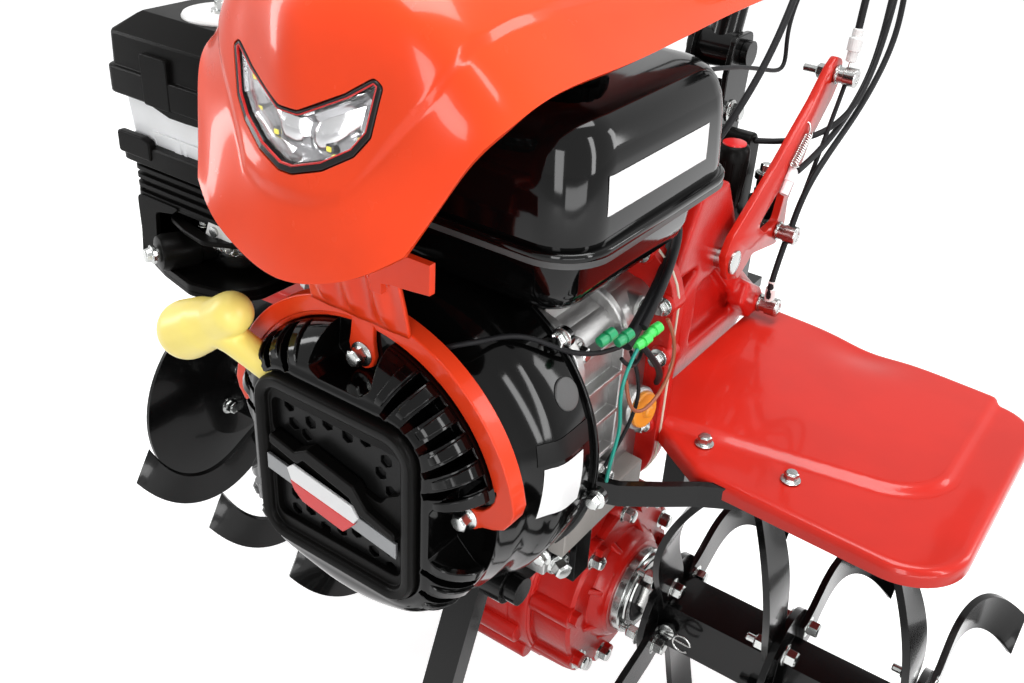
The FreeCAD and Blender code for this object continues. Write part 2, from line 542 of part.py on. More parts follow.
parts["gear_case"] = cut(gear_case, [axle_hole, parts["frame"]])
for side, name in ((1, "left"), (-1, "right")):
    cover = turned_x([(boss_x, 0), (boss_x, 40), (boss_x + 10, 40), (boss_x + 13, 36), (boss_x + 13, 0)], 0, AXLE_Z).cut(axle_hole)
    parts["axle_cover_" + name] = cover if side > 0 else mirrored(cover)

# gear housing behind the engine, with side arms that carry the fenders
def above_crank(points):
    """(y, height over the crankshaft) to (y, z)."""
    return [(y, CRANK_Z + h) for y, h in points]


tower = prism_x(above_crank([(PTO_Y, -135), (96, -135), (116, -75), (124, 35), (106, 97), (-20, 97), (PTO_Y, 65)]), -58, 58)
flange = turned_y([(PTO_Y, 0), (PTO_Y, 88), (PTO_Y + 12, 88), (PTO_Y + 12, 0)], 0, CRANK_Z)
arm = prism_x([(36, FENDER_Z - 20), (74, FENDER_Z - 20), (180, FENDER_Z - 4), (206, FENDER_Z + 12), (204, FENDER_Z + 36)]
              + above_crank([(120, 59), (72, 57), (40, 35), (50, -15)]), 56, 84)
pocket = prism_x(above_crank([(72, -23), (176, -23), (108, 39), (76, 35)]), 72, 90)
arms = both(arm.cut(pocket))
tail = prism_x(above_crank([(100, -55), (190, -47), (TAIL_Y + 24, 85), (TAIL_Y + 24, 110), (TAIL_Y - 24, 110), (110, 65)]), -26, 26)
shoulder = prism_x(above_crank([(20, 57), (150, 57), (108, 125), (56, 125)]), 30, 84)
low_lug = prism_x(above_crank([(150, -11), (176, -36), (198, -30), (198, -10), (160, 11)]), 80, LEVER_X + LEVER_T)
low_pin = cyl_x(LEVER_X + LEVER_T, LEVER_X + LEVER_T + 20, 188, CRANK_Z - 21, 7)
housing = fuse([tower, flange, tail, shoulder, low_lug, low_pin] + arms)
housing = cut(housing, [parts["frame"], parts["gear_case"], box(-200, 200, -200, PTO_Y, 0, 900)])
parts["gear_housing"] = housing.cut(box(-200, 200, -60, 20, 0, feet_z).common(cyl_x(-200, 200, 0, AXLE_Z, GEAR_R + 1)))

# tine rotors on the hexagonal axle
parts["tine_axle"] = hexagon_x(-ROTOR_IN_X - 60, ROTOR_IN_X + 60, 0, AXLE_Z, HEX_AF)


def square_tube(x0, x1, side):
    half = side / 2
    return box(x0, x1, -half, half, AXLE_Z - half, AXLE_Z + half)


def blade(x, angle, lean):
    """Sabre blade on a flange: flat stem, tip swept back and bent sideways by lean (+1 or -1)."""
    stations = ((30.0, 0.0, 0.0, 0.0), (76.0, 0.0, 0.0, 0.0), (110.0, -2.0, 1.0, 4.0),
                (139.0, -7.0, 9.0, 22.0), (158.5, -14.0, 25.0, 38.0), (167.5, -21.0, 44.0, 46.0))
    wires = []
    for i, (r, sweep, out, tilt) in enumerate(stations):
        a = math.radians(angle + sweep)
        radial = V(0, math.cos(a), math.sin(a))
        tangent = V(0, -math.sin(a), math.cos(a))
        turn = math.radians(sweep * 1.6)
        ahead = (radial * math.cos(turn) + tangent * math.sin(turn)).normalize()
        across = V(1, 0, 0).cross(ahead).normalize()
        t = math.radians(tilt) * lean
        flat = V(1, 0, 0) * math.cos(t) - ahead * math.sin(t)
        centre = V(x + lean * out, 0, AXLE_Z) + radial * r
        w = across * (BLADE_W / 2)
        n = flat * (BLADE_T / 2)
        pts = [centre + w + n, centre - w + n, centre - w - n, centre + w - n]
        wires.append(Part.makePolygon(pts + pts[:1]))
    return Part.makeLoft(wires, True, False)


def rotor(side):
    """One side's rotor; side is +1 for the machine's left."""
    joint_x = FLANGE_X[1] + 2
    solids = [square_tube(ROTOR_IN_X, joint_x, SOCKET_SIDE), square_tube(joint_x - 2, DISC_X, INNER_TUBE_SIDE)]
    for row, x in enumerate(FLANGE_X):
        solids.append(cyl_x(x - FLANGE_T / 2, x + FLANGE_T / 2, 0, AXLE_Z, FLANGE_R))
        for k in range(4):
            lean = -1 if k % 2 == 0 else 1
            if row == 0 and lean < 0:
                lean = 1
            bx = x + lean * ((FLANGE_T + BLADE_T) / 2 - BLADE_BITE)
            solids.append(blade(bx, BLADE_PHASE + 90 * k, lean))
    out = fuse(solids)
    out = out.cut(hexagon_x(ROTOR_IN_X - 1, ROTOR_IN_X + 60.2, 0, AXLE_Z, HEX_AF + 0.1))
    return out.cut(cyl_x(DISC_X, DISC_X + 90, 0, AXLE_Z, 60))


left_rotor = rotor(1)
disc_profile = [(DISC_X, 0), (DISC_X, 58), (DISC_X + DISC_DISH - DISC_T, DISC_R), (DISC_X + DISC_DISH, DISC_R), (DISC_X + DISC_T, 60),
                (DISC_X + DISC_T, 28), (DISC_X + DISC_T + 10, 26), (DISC_X + DISC_T + 10, 0)]
disc = turned_x(disc_profile, 0, AXLE_Z)
for side, name in ((1, "left"), (-1, "right")):
    parts["tine_rotor_" + name] = left_rotor if side > 0 else mirrored(left_rotor)
    parts["side_disc_" + name] = disc if side > 0 else mirrored(disc)


# fenders over the rotors: plate with rounded corners, turned-down edge, raised panel
def fender_plan(inset):
    """Fender outline as a closed wire at z = 0, rounded at its outer corners."""
    corners = [(FENDER_IN_X, -38), (150, -66), (FENDER_OUT_X, -62), (FENDER_OUT_X - 2, 196), (FENDER_IN_X + 4, 220)]
    radii = [4, 24, 52, 40, 6]
    solid = prism_z(corners, 0, 10)
    for (x, y), r in zip(corners, radii):
        solid = rounded(solid, r, lambda e: along(e, V(0, 0, 1)) and abs(e.Vertexes[0].X - x) + abs(e.Vertexes[0].Y - y) < 0.5)
    top = [f for f in solid.Faces if f.BoundBox.ZMin > 9][0]
    wire = top.OuterWire.makeOffset2D(-inset) if inset else top.OuterWire
    wire.translate(V(0, 0, -10))
    return wire


def fender_layer(inset, z0, z1):
    face = Part.Face(fender_plan(inset))
    face.translate(V(0, 0, z0))
    return face.extrude(V(0, 0, z1 - z0))


LIP_H = 9.0
fender_shell = fuse([fender_layer(0, FENDER_Z, FENDER_Z + FENDER_T),
                     fender_layer(0, FENDER_Z - LIP_H, FENDER_Z + FENDER_T).cut(fender_layer(FENDER_T, FENDER_Z - LIP_H - 1, FENDER_Z + FENDER_T))])
fender_shell = fender_shell.cut(box(0, FENDER_IN_X + 40, -200, 400, 0, FENDER_Z))
panel_top = FENDER_Z + FENDER_T + 5
panel_in = FENDER_OUT_X - 46
panel = prism_z([(FENDER_IN_X + 8, -23), (panel_in, 2), (panel_in, 172), (FENDER_IN_X + 10, 192)], FENDER_Z + FENDER_T, panel_top)
panel = rounded(panel, 36, lambda e: along(e, V(0, 0, 1)) and e.BoundBox.XMin > panel_in - 1)
panel = panel.makeChamfer(4, [e for e in panel.Edges if e.BoundBox.ZMin > panel_top - 0.1])
left_fender = cut(fuse([fender_shell, panel]), [parts["gear_housing"], stay])
for shape, name in zip(both(left_fender), ("left", "right")):
    parts["fender_" + name] = shape

# controls behind the engine
knob_z = CRANK_Z + 59
knob = fuse([cyl_z(60, 160, knob_z - 20, knob_z + 26, KNOB_R + 4), cyl_z(60, 162, knob_z + 26, knob_z + 68, KNOB_R),
             Part.makeCone(KNOB_R, KNOB_R - 4, 14, V(60, 162, knob_z + 68))])
parts["shift_lever"] = knob.cut(parts["gear_housing"])

lever_x1 = LEVER_X + LEVER_T
lever = prism_x(above_crank([(4, 70), (40, 70), (70, 65), (182, 39), (200, 49), (150, 85), (282, 177), (284, 187), (272, 191), (40, 105)]),
                LEVER_X, lever_x1)
root = box(80, LEVER_X, 24, 64, CRANK_Z + 62, CRANK_Z + 94)
barrels = [cyl_x(lever_x1, lever_x1 + 20, y, z, 7) for y, z in above_crank([(276, 182), (190, 47)])]
parts["clutch_lever"] = fuse([lever, root] + barrels).cut(parts["gear_housing"])

# handlebar bracket: two cheeks on the housing's tail
cheek_in = COLUMN_R + 3
tail_z = CRANK_Z + 110
cheek = prism_x([(TAIL_Y - 24, tail_z), (TAIL_Y + 24, tail_z), (BAR_PIVOT[0] + 20, BAR_PIVOT[1] - 10), (BAR_PIVOT[0] + 20, BAR_PIVOT[1] + 18),
                 (BAR_PIVOT[0] - 20, BAR_PIVOT[1] + 18), (BAR_PIVOT[0] - 24, BAR_PIVOT[1] - 20)], cheek_in, cheek_in + CHEEK_T)
base = box(-cheek_in - CHEEK_T, cheek_in + CHEEK_T, TAIL_Y - 24, TAIL_Y + 24, tail_z, tail_z + 8)
hinge_hole = cyl_x(-80, 80, BAR_PIVOT[0], BAR_PIVOT[1], PIN_R + GAP)
parts["handlebar_bracket"] = fuse(both(cheek) + [base]).cut(hinge_hole)

# handlebar: column, fork tubes to the grips, hinge pin
fork = (0, BAR_PIVOT[0] + 70, BAR_PIVOT[1] + 230)
bar = [tube_path([(0, BAR_PIVOT[0], BAR_PIVOT[1]), fork], COLUMN_R, 90)]
side_path = [(0, fork[1] - 8, fork[2] - 20), (150, fork[1] + 70, fork[2] + 60), (270, fork[1] + 200, fork[2] + 92),
             (270, fork[1] + 520, fork[2] + 130)]
bar += both(tube_path(side_path, BAR_TUBE_R, 60))
bar.append(tube_path([(-262, fork[1] + 230, fork[2] + 96), (262, fork[1] + 230, fork[2] + 96)], 10, 20))
bar.append(cyl_x(-cheek_in + GAP, cheek_in - GAP, BAR_PIVOT[0], BAR_PIVOT[1], 18))
pin_half = cheek_in + CHEEK_T + 7
bar.append(cyl_x(-pin_half, pin_half, BAR_PIVOT[0], BAR_PIVOT[1], PIN_R))
bar += both(cyl_x(cheek_in + CHEEK_T + GAP, pin_half, BAR_PIVOT[0], BAR_PIVOT[1], 12))
parts["handlebar"] = fuse(bar)
grip_end = (270, fork[1] + 520, fork[2] + 130)
grip_tip = tuple(b + (b - a) * 0.4 for a, b in zip(side_path[-2], grip_end))
parts["hand_grips"] = Part.makeCompound(both(tube_path([grip_end, grip_tip], BAR_TUBE_R + 3, 20)))

# front wheel on its leg, beside the tyre
leg_x0 = WHEEL_W / 2 + WHEEL_SIDE_GAP
leg_x1 = leg_x0 + LEG_W
lean = (WHEEL_Y - LEG_PIVOT_Y) / (pivot_z - WHEEL_R)
leg_top = pivot_z + 8
leg_bottom = WHEEL_R - 16


def leg_y(z):
    return LEG_PIVOT_Y - lean * (z - pivot_z)


leg = prism_x([(leg_y(leg_top) - LEG_D / 2, leg_top), (leg_y(leg_top) + LEG_D / 2, leg_top),
               (leg_y(leg_bottom) + LEG_D / 2, leg_bottom), (leg_y(leg_bottom) - LEG_D / 2, leg_bottom)], leg_x0, leg_x1)
hub_half = rail_x0 - GAP
arm = [leg, cyl_x(-hub_half, hub_half, LEG_PIVOT_Y, pivot_z, 15)]
arm.append(cyl_x(-rail_x1 - 12, rail_x1 + 12, LEG_PIVOT_Y, pivot_z, PIN_R))
arm += both(cyl_x(rail_x1 + GAP, rail_x1 + 12, LEG_PIVOT_Y, pivot_z, 12))
arm.append(cyl_x(leg_x0 - 30, leg_x0, WHEEL_Y, WHEEL_R, PIN_R))
parts["wheel_leg"] = fuse(arm)
tyre = turned_x([(-WHEEL_W / 2, 52), (-WHEEL_W / 2, WHEEL_R - 8), (-WHEEL_W / 2 + 7, WHEEL_R), (WHEEL_W / 2 - 7, WHEEL_R),
                 (WHEEL_W / 2, WHEEL_R - 8), (WHEEL_W / 2, 52)], WHEEL_Y, WHEEL_R)
parts["front_tyre"] = tyre
rim = turned_x([(-16, 18), (-4, 22), (-4, 44), (-16, 46), (-16, 52), (16, 52), (16, 46), (4, 44), (4, 22), (16, 18),
                (leg_x0 - GAP, 14), (leg_x0 - GAP, PIN_R + GAP), (-16, PIN_R + GAP)], WHEEL_Y, WHEEL_R)
parts["front_rim"] = rim

# rear hitch and depth bar
HITCH_PIN_R = 8.2
BAR_HALF = 14.0
depth_y = 300.0
socket = box(-30, 30, depth_y - 36, depth_y + 32, 320, 430)
socket = socket.cut(box(-BAR_HALF - GAP, BAR_HALF + GAP, depth_y - BAR_HALF - GAP, depth_y + BAR_HALF + GAP, 300, 500))
web = box(-20, 20, 96, depth_y - 36, 330, 378)
tongue = box(-30, 30, depth_y + 32, depth_y + 80, 330, 342).cut(cyl_z(0, depth_y + 58, 300, 360, HITCH_PIN_R))
parts["hitch_box"] = fuse([socket, web, tongue]).cut(parts["gear_housing"])
depth = box(-BAR_HALF, BAR_HALF, depth_y - BAR_HALF, depth_y + BAR_HALF, 60, 440)
foot = prism_x([(depth_y - 14, 80), (depth_y + 14, 60), (depth_y + 110, 0), (depth_y + 140, 0), (depth_y + 140, 10),
                (depth_y + 14, 90)], -BAR_HALF, BAR_HALF)
parts["depth_bar"] = fuse([depth, foot])

# the whole machine is centred on its own length
bounds = [shape.BoundBox for shape in parts.values()]
SHIFT_Y = -(min(b.YMin for b in bounds) + max(b.YMax for b in bounds)) / 2

os.makedirs("parts", exist_ok=True)
for name, shape in parts.items():
    shape.translate(V(0, SHIFT_Y, 0))
    shape.exportStep("parts/" + name + ".step")
    b = shape.BoundBox
    print(name, len(shape.Solids), shape.isValid(), [round(v) for v in (b.XMin, b.XMax, b.YMin, b.YMax, b.ZMin, b.ZMax)])
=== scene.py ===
"""Looks of the rotary tiller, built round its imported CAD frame."""
import math

import bmesh
import bpy
import json
import numpy as np
import random
from mathutils import Matrix, Vector
from mathutils.bvhtree import BVHTree

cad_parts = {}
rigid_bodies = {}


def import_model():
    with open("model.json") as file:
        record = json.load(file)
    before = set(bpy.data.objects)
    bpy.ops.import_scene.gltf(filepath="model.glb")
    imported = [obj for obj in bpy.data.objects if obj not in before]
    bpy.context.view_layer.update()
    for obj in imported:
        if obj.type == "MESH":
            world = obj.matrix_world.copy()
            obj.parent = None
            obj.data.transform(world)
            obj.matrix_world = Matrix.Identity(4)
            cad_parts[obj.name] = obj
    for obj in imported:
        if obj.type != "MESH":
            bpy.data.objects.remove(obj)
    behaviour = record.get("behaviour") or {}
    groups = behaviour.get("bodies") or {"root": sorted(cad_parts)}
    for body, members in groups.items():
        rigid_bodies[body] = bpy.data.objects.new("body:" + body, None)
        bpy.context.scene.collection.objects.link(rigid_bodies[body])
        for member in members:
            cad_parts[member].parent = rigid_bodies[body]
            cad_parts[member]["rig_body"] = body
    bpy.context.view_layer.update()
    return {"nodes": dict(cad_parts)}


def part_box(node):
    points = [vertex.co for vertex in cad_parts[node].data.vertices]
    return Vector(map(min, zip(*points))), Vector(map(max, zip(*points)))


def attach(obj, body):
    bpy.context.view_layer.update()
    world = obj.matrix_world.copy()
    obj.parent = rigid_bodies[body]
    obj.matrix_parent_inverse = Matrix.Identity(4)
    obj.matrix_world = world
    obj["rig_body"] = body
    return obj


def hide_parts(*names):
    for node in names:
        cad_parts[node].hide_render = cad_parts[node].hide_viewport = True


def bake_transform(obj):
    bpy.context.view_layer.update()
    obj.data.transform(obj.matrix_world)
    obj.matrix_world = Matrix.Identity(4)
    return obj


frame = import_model()
NODES = frame["nodes"]
MM = 0.001

# the tine axle's middle; every place below is in millimetres from it in Y and from the floor in Z
axle_low, axle_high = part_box("tine_axle")
AXLE_Y = (axle_low.y + axle_high.y) / 2


def at(x, y, z):
    """Point in metres from the drawing's millimetres."""
    return Vector((x * MM, y * MM + AXLE_Y, z * MM))


def mm_box(node):
    """A CAD node's box in the drawing's millimetres: (x0, x1, y0, y1, z0, z1)."""
    low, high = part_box(node)
    return (low.x / MM, high.x / MM, (low.y - AXLE_Y) / MM, (high.y - AXLE_Y) / MM, low.z / MM, high.z / MM)


# ---------------------------------------------------------------- materials
class Nodes:
    """Short calls for building one material."""

    def __init__(self, name):
        self.mat = bpy.data.materials.new(name)
        self.mat.use_nodes = True
        self.tree = self.mat.node_tree
        self.tree.nodes.clear()
        self.out = self.add("ShaderNodeOutputMaterial")
        self.bsdf = self.add("ShaderNodeBsdfPrincipled")
        self.link(self.bsdf, 0, self.out, 0)
        self.coords = self.add("ShaderNodeTexCoord")

    def add(self, kind, **inputs):
        node = self.tree.nodes.new(kind)
        for key, value in inputs.items():
            node.inputs[key.replace("_", " ")].default_value = value
        return node

    def settle(self, **values):
        """Plain values for inputs of the surface shader."""
        for key, value in values.items():
            self.bsdf.inputs[key.replace("_", " ")].default_value = value

    def link(self, a, i, b, j):
        self.tree.links.new(a.outputs[i], b.inputs[j])

    def noise(self, scale, detail=3.0, rough=0.5, stretch=None):
        node = self.add("ShaderNodeTexNoise", Scale=scale, Detail=detail, Roughness=rough)
        if stretch:
            mapping = self.add("ShaderNodeMapping", Scale=stretch)
            self.link(self.coords, 3, mapping, 0)
            self.link(mapping, 0, node, 0)
        else:
            self.link(self.coords, 3, node, 0)
        return node

    def ramp(self, source, low, high, a, b):
        """Colour ramp between two colours over a span of the source's value."""
        node = self.add("ShaderNodeValToRGB")
        node.color_ramp.elements[0].position = low
        node.color_ramp.elements[1].position = high
        node.color_ramp.elements[0].color = (*a, 1)
        node.color_ramp.elements[1].color = (*b, 1)
        self.link(source, 0, node, 0)
        return node

    def spread(self, source, low, high):
        """The source's 0..1 value moved to low..high."""
        node = self.add("ShaderNodeMapRange")
        node.inputs[3].default_value = low
        node.inputs[4].default_value = high
        self.link(source, 0, node, 0)
        return node

    def bump(self, source, strength, distance, edge=0.0):
        """Bump from the source, over rounded edges of the given radius."""
        node = self.add("ShaderNodeBump", Strength=strength, Distance=distance)
        self.link(source, 0, node, 3)
        if edge:
            bevel = self.add("ShaderNodeBevel", Radius=edge)
            bevel.samples = 6
            self.link(bevel, 0, node, 4)
        self.link(node, 0, self.bsdf, "Normal")
        return node


def paint(name, colour, rough, coat=0.0, peel=0.02, peel_scale=500.0, metallic=0.0, shine=0.5):
    """Paint or moulding: a slowly drifting colour, fine surface waviness and a coat where asked."""
    n = Nodes(name)
    drift = n.noise(14.0, 4.0)
    low = tuple(c * 0.94 for c in colour)
    high = tuple(min(1, c * 1.05) for c in colour)
    n.link(n.ramp(drift, 0.35, 0.65, low, high), 0, n.bsdf, "Base Color")
    n.link(n.spread(n.noise(60.0, 5.0), rough * 0.85, rough * 1.15), 0, n.bsdf, "Roughness")
    n.settle(Metallic=metallic, Specular_IOR_Level=shine, Coat_Weight=coat, Coat_Roughness=0.06)
    n.bump(n.noise(peel_scale, 2.0), peel, 0.0006, 0.0008)
    return n.mat


def cast(name, colour, rough, grain, metallic=0.0, coat=0.0, grain_scale=260.0, shine=0.5):
    """Sand-cast surface: coarse grain under the finish."""
    n = Nodes(name)
    grit = n.noise(grain_scale, 6.0, 0.65)
    blotch = n.noise(26.0, 3.0)
    low = tuple(c * 0.82 for c in colour)
    n.link(n.ramp(blotch, 0.3, 0.7, low, colour), 0, n.bsdf, "Base Color")
    n.link(n.spread(grit, rough * 0.8, rough * 1.2), 0, n.bsdf, "Roughness")
    n.settle(Metallic=metallic, Specular_IOR_Level=shine, Coat_Weight=coat, Coat_Roughness=0.15)
    n.bump(grit, grain, 0.0012, 0.0012)
    return n.mat


def metal(name, colour, rough, brush=(1, 1, 1), scale=300.0, strength=0.08):
    """Plated or machined metal with fine tool marks."""
    n = Nodes(name)
    marks = n.noise(scale, 4.0, 0.6, brush)
    tint = n.noise(22.0, 2.0)
    low = tuple(c * 0.86 for c in colour)
    n.link(n.ramp(tint, 0.3, 0.7, low, colour), 0, n.bsdf, "Base Color")
    n.link(n.spread(marks, rough * 0.7, rough * 1.4), 0, n.bsdf, "Roughness")
    n.settle(Metallic=1.0)
    n.bump(marks, strength, 0.0005, 0.0005)
    return n.mat


def clear(name, colour, rough, transmission):
    """Clear or milky moulding."""
    n = Nodes(name)
    cloud = n.noise(40.0, 3.0)
    low = tuple(c * 0.93 for c in colour)
    n.link(n.ramp(cloud, 0.3, 0.7, low, colour), 0, n.bsdf, "Base Color")
    n.link(n.spread(cloud, rough * 0.8, rough * 1.2), 0, n.bsdf, "Roughness")
    n.settle(Transmission_Weight=transmission, IOR=1.45)
    n.bump(n.noise(90.0, 2.0), 0.02, 0.0005)
    return n.mat


MAT = {
    "hood": paint("hood_orange", (0.78, 0.052, 0.008), 0.26, coat=0.3, peel=0.008, peel_scale=240.0,
                  shine=0.15),
    "hoop": paint("hoop_orange", (0.74, 0.046, 0.01), 0.3, coat=0.2, shine=0.15),
    "fender": paint("fender_red", (0.5, 0.017, 0.009), 0.3, coat=0.25, peel=0.03, shine=0.15),
    "gloss_black": paint("gloss_black", (0.0015, 0.0015, 0.0015), 0.1, coat=0.12, peel=0.008, shine=0.14),
    "satin_black": paint("satin_black", (0.0038, 0.0036, 0.0034), 0.34, peel=0.12, peel_scale=900.0,
                         shine=0.05),
    "frame_black": paint("frame_black", (0.003, 0.003, 0.003), 0.2, coat=0.15, peel=0.04, shine=0.15),
    "rubber": paint("rubber", (0.008, 0.008, 0.009), 0.5, peel=0.2, peel_scale=1200.0, shine=0.15),
    "cast_red": cast("cast_red", (0.5, 0.011, 0.007), 0.3, 0.3, coat=0.2, shine=0.15),
    "aluminium": cast("cast_aluminium", (0.46, 0.455, 0.45), 0.38, 0.3, metallic=1.0, grain_scale=420.0),
    "cast_grey": cast("cast_grey", (0.3, 0.28, 0.26), 0.5, 0.3, metallic=0.3, grain_scale=420.0),
    "gasket": paint("gasket", (0.62, 0.56, 0.45), 0.6, peel=0.2),
    "zinc": metal("zinc_plate", (0.5, 0.51, 0.5), 0.2),
    "steel": metal("bright_steel", (0.48, 0.48, 0.47), 0.18, (1, 1, 12)),
    "chrome": metal("chrome", (0.9, 0.9, 0.92), 0.05, strength=0.01),
    "reflector": metal("reflector", (0.62, 0.62, 0.63), 0.12, strength=0.01),
    "yellow": paint("grip_yellow", (0.98, 0.79, 0.2), 0.36, peel=0.04),
    "milky": clear("milky_bowl", (0.93, 0.94, 0.95), 0.35, 0.12),
    "lens": clear("lens", (1.0, 1.0, 1.0), 0.02, 1.0),
    "tyre": paint("tyre_rubber", (0.02, 0.02, 0.021), 0.7, peel=0.3, peel_scale=700.0),
    "tank_black": paint("tank_black", (0.0015, 0.0015, 0.0015), 0.08, coat=0.2, peel=0.006, shine=0.14),
    "ribbed_rubber": paint("ribbed_rubber", (0.03, 0.03, 0.03), 0.5, peel=0.1),
    "lamp_rim": paint("lamp_rim", (0.006, 0.005, 0.005), 0.22, coat=0.15, shine=0.2),
    "led_case": paint("led_case", (0.01, 0.01, 0.012), 0.25),
    "led_yellow": paint("led_yellow", (0.85, 0.72, 0.05), 0.3),
    "satin_grey": paint("satin_grey", (0.06, 0.06, 0.06), 0.45, peel=0.2, peel_scale=900.0),
    "band_grey": paint("band_grey", (0.22, 0.225, 0.23), 0.35, metallic=0.5),
    "badge_white": paint("badge_white", (0.8, 0.8, 0.8), 0.3),
    "badge_red": paint("badge_red", (0.62, 0.012, 0.012), 0.3),
    # near-black sheet material: painted shade for the dark behind the starter screen's holes
    "painted_shade_black": paint("painted_shade_black", (0.0005, 0.0005, 0.0005), 0.9),
    "screen_black": paint("screen_black", (0.004, 0.004, 0.004), 0.32, peel=0.1, shine=0.1),
    "plate_black": paint("plate_black", (0.004, 0.004, 0.004), 0.35, shine=0.15),
    "white_plastic": paint("white_plastic", (0.72, 0.72, 0.71), 0.35),
    "cap_orange": paint("cap_orange", (0.75, 0.27, 0.02), 0.4),
    "connector_green": paint("connector_green", (0.06, 0.72, 0.12), 0.35),
    "connector_green_dark": paint("connector_green_dark", (0.01, 0.32, 0.12), 0.35),
    "wire_teal": paint("wire_teal", (0.0, 0.26, 0.2), 0.35),
    "wire_brown": paint("wire_brown", (0.3, 0.09, 0.04), 0.4),
}

# material of each drawn node, seen where no piece stands in for it
CARRIED = {
    "aluminium": "engine_block",
    "gloss_black": "fan_cover fuel_tank",
    "satin_black": "recoil_starter fuel_cap air_cleaner_lid air_cleaner_base control_housing shift_lever",
    "hoop": "guard_hoop hood_bracket",
    "yellow": "pull_handle",
    "hood": "hood",
    "chrome": "headlamp",
    "milky": "air_cleaner_bowl",
    "zinc": "carburettor axle_cover_left axle_cover_right front_rim",
    "steel": "muffler exhaust_pipe tine_axle",
    "frame_black": "frame fender_stays tine_rotor_left tine_rotor_right side_disc_left side_disc_right "
                   "handlebar_bracket handlebar wheel_leg hood_strap hitch_box depth_bar",
    "cast_red": "gear_case gear_housing",
    "fender": "fender_left fender_right clutch_lever",
    "rubber": "hand_grips",
    "tyre": "front_tyre",
}

for key, carriers in CARRIED.items():
    for node in carriers.split():
        NODES[node].data.materials.clear()
        NODES[node].data.materials.append(MAT[key])


# ---------------------------------------------------------------- mesh helpers
def placed(name, data):
    """A new object of the scene with the data."""
    obj = bpy.data.objects.new(name, data)
    bpy.context.scene.collection.objects.link(obj)
    return obj


def mesh_of(name, verts, faces):
    """A mesh from points and faces."""
    mesh = bpy.data.meshes.new(name)
    mesh.from_pydata([tuple(v) for v in verts], [], faces)
    return mesh


def make(name, verts, faces, mat, body="machine", smooth=True, angle=None):
    """A mesh piece that rides on a body; verts are in metres."""
    mesh = mesh_of(name, verts, faces)
    mesh.validate()
    mesh.materials.append(MAT[mat])
    obj = placed(name, mesh)
    tidy_normals(obj)
    if smooth:
        shade(obj, angle)
    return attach(obj, body)


def tidy_normals(obj):
    """Merges doubled points and turns every face outwards."""
    bm = bmesh.new()
    bm.from_mesh(obj.data)
    bmesh.ops.remove_doubles(bm, verts=bm.verts, dist=1e-6)
    bmesh.ops.recalc_face_normals(bm, faces=bm.faces)
    bm.to_mesh(obj.data)
    bm.free()


def shade(obj, angle=None):
    """Smooth shading, with edges over the angle kept sharp."""
    bm = bmesh.new()
    bm.from_mesh(obj.data)
    for face in bm.faces:
        face.smooth = True
    if angle:
        for edge in bm.edges:
            edge.smooth = not (len(edge.link_faces) == 2 and edge.calc_face_angle(0) > math.radians(angle))
    bm.to_mesh(obj.data)
    bm.free()


def bevelled(obj, width, segments=2, angle=35):
    """Rounds the piece's sharp edges; width in millimetres."""
    mod = obj.modifiers.new("edges", "BEVEL")
    mod.width = width * MM
    mod.segments = segments
    mod.limit_method = "ANGLE"
    mod.angle_limit = math.radians(angle)
    mod.harden_normals = True
    return obj


def thickened(obj, thickness, offset=-1.0):
    """Gives a sheet a thickness in millimetres, on the side that the offset tells."""
    mod = obj.modifiers.new("thick", "SOLIDIFY")
    mod.thickness = thickness * MM
    mod.offset = offset
    return obj


def one_skin(obj, voxel, rounds):
    """Melts the piece's solids into one skin with soft edges; voxel in millimetres."""
    remesh = obj.modifiers.new("one_skin", "REMESH")
    remesh.mode = "VOXEL"
    remesh.voxel_size = voxel * MM
    soften = obj.modifiers.new("soften", "SMOOTH")
    soften.factor = 0.5
    soften.iterations = rounds
    applied(obj)
    shade(obj)


def applied(obj):
    """Applies the piece's modifiers."""
    bpy.context.view_layer.update()
    graph = bpy.context.evaluated_depsgraph_get()
    final = obj.evaluated_get(graph)
    mesh = bpy.data.meshes.new_from_object(final, preserve_all_data_layers=True, depsgraph=graph)
    obj.modifiers.clear()
    obj.data = mesh
    return obj


def grid_faces(rows, cols, closed=False):
    """Quads over rows of points; a closed grid joins each row's end to its start."""
    faces = []
    for i in range(rows - 1):
        for j in range(cols if closed else cols - 1):
            k = (j + 1) % cols
            faces.append((i * cols + j, i * cols + k, (i + 1) * cols + k, (i + 1) * cols + j))
    return faces


def sheet_of(name, rows, mat, angle=None):
    """Open skin over rows of points."""
    verts = [v for row in rows for v in row]
    return make(name, verts, grid_faces(len(rows), len(rows[0])), mat, angle=angle)


def loops_solid(name, loops, mat, body="machine", cap=(True, True), angle=35):
    """Skin over closed loops of equal length, with capped ends."""
    n = len(loops[0])
    verts = [v for loop in loops for v in loop]
    faces = grid_faces(len(loops), n, True)
    if cap[0]:
        faces.append(tuple(range(n))[::-1])
    if cap[1]:
        faces.append(tuple(range((len(loops) - 1) * n, len(loops) * n)))
    return make(name, verts, faces, mat, body, angle=angle)


def frame_of(direction):
    """Two unit vectors square to the direction."""
    d = Vector(direction).normalized()
    side = d.orthogonal().normalized()
    return d, side, d.cross(side)


def ring_about(place, axes, along, radius, sides, hexagonal=False):
    """Round or hexagonal ring of points square to the first axis, at a distance along it from place."""
    d, a, b = axes
    centre = at(*place) + d * along * MM
    ring = []
    for i in range(sides):
        t = 2 * math.pi * i / sides
        reach = radius / math.cos((t + math.pi / 6) % (math.pi / 3) - math.pi / 6) if hexagonal else radius
        ring.append(centre + (a * math.cos(t) + b * math.sin(t)) * reach * MM)
    return ring


def lathe(name, place, direction, profile, mat, body="machine", segments=48, angle=30, cap=(True, True)):
    """Turned piece: profile is (distance along the direction, radius) in millimetres from place."""
    axes = frame_of(direction)
    loops = [ring_about(place, axes, along, max(r, 0.01), segments) for along, r in profile]
    return loops_solid(name, loops, mat, body, cap, angle)


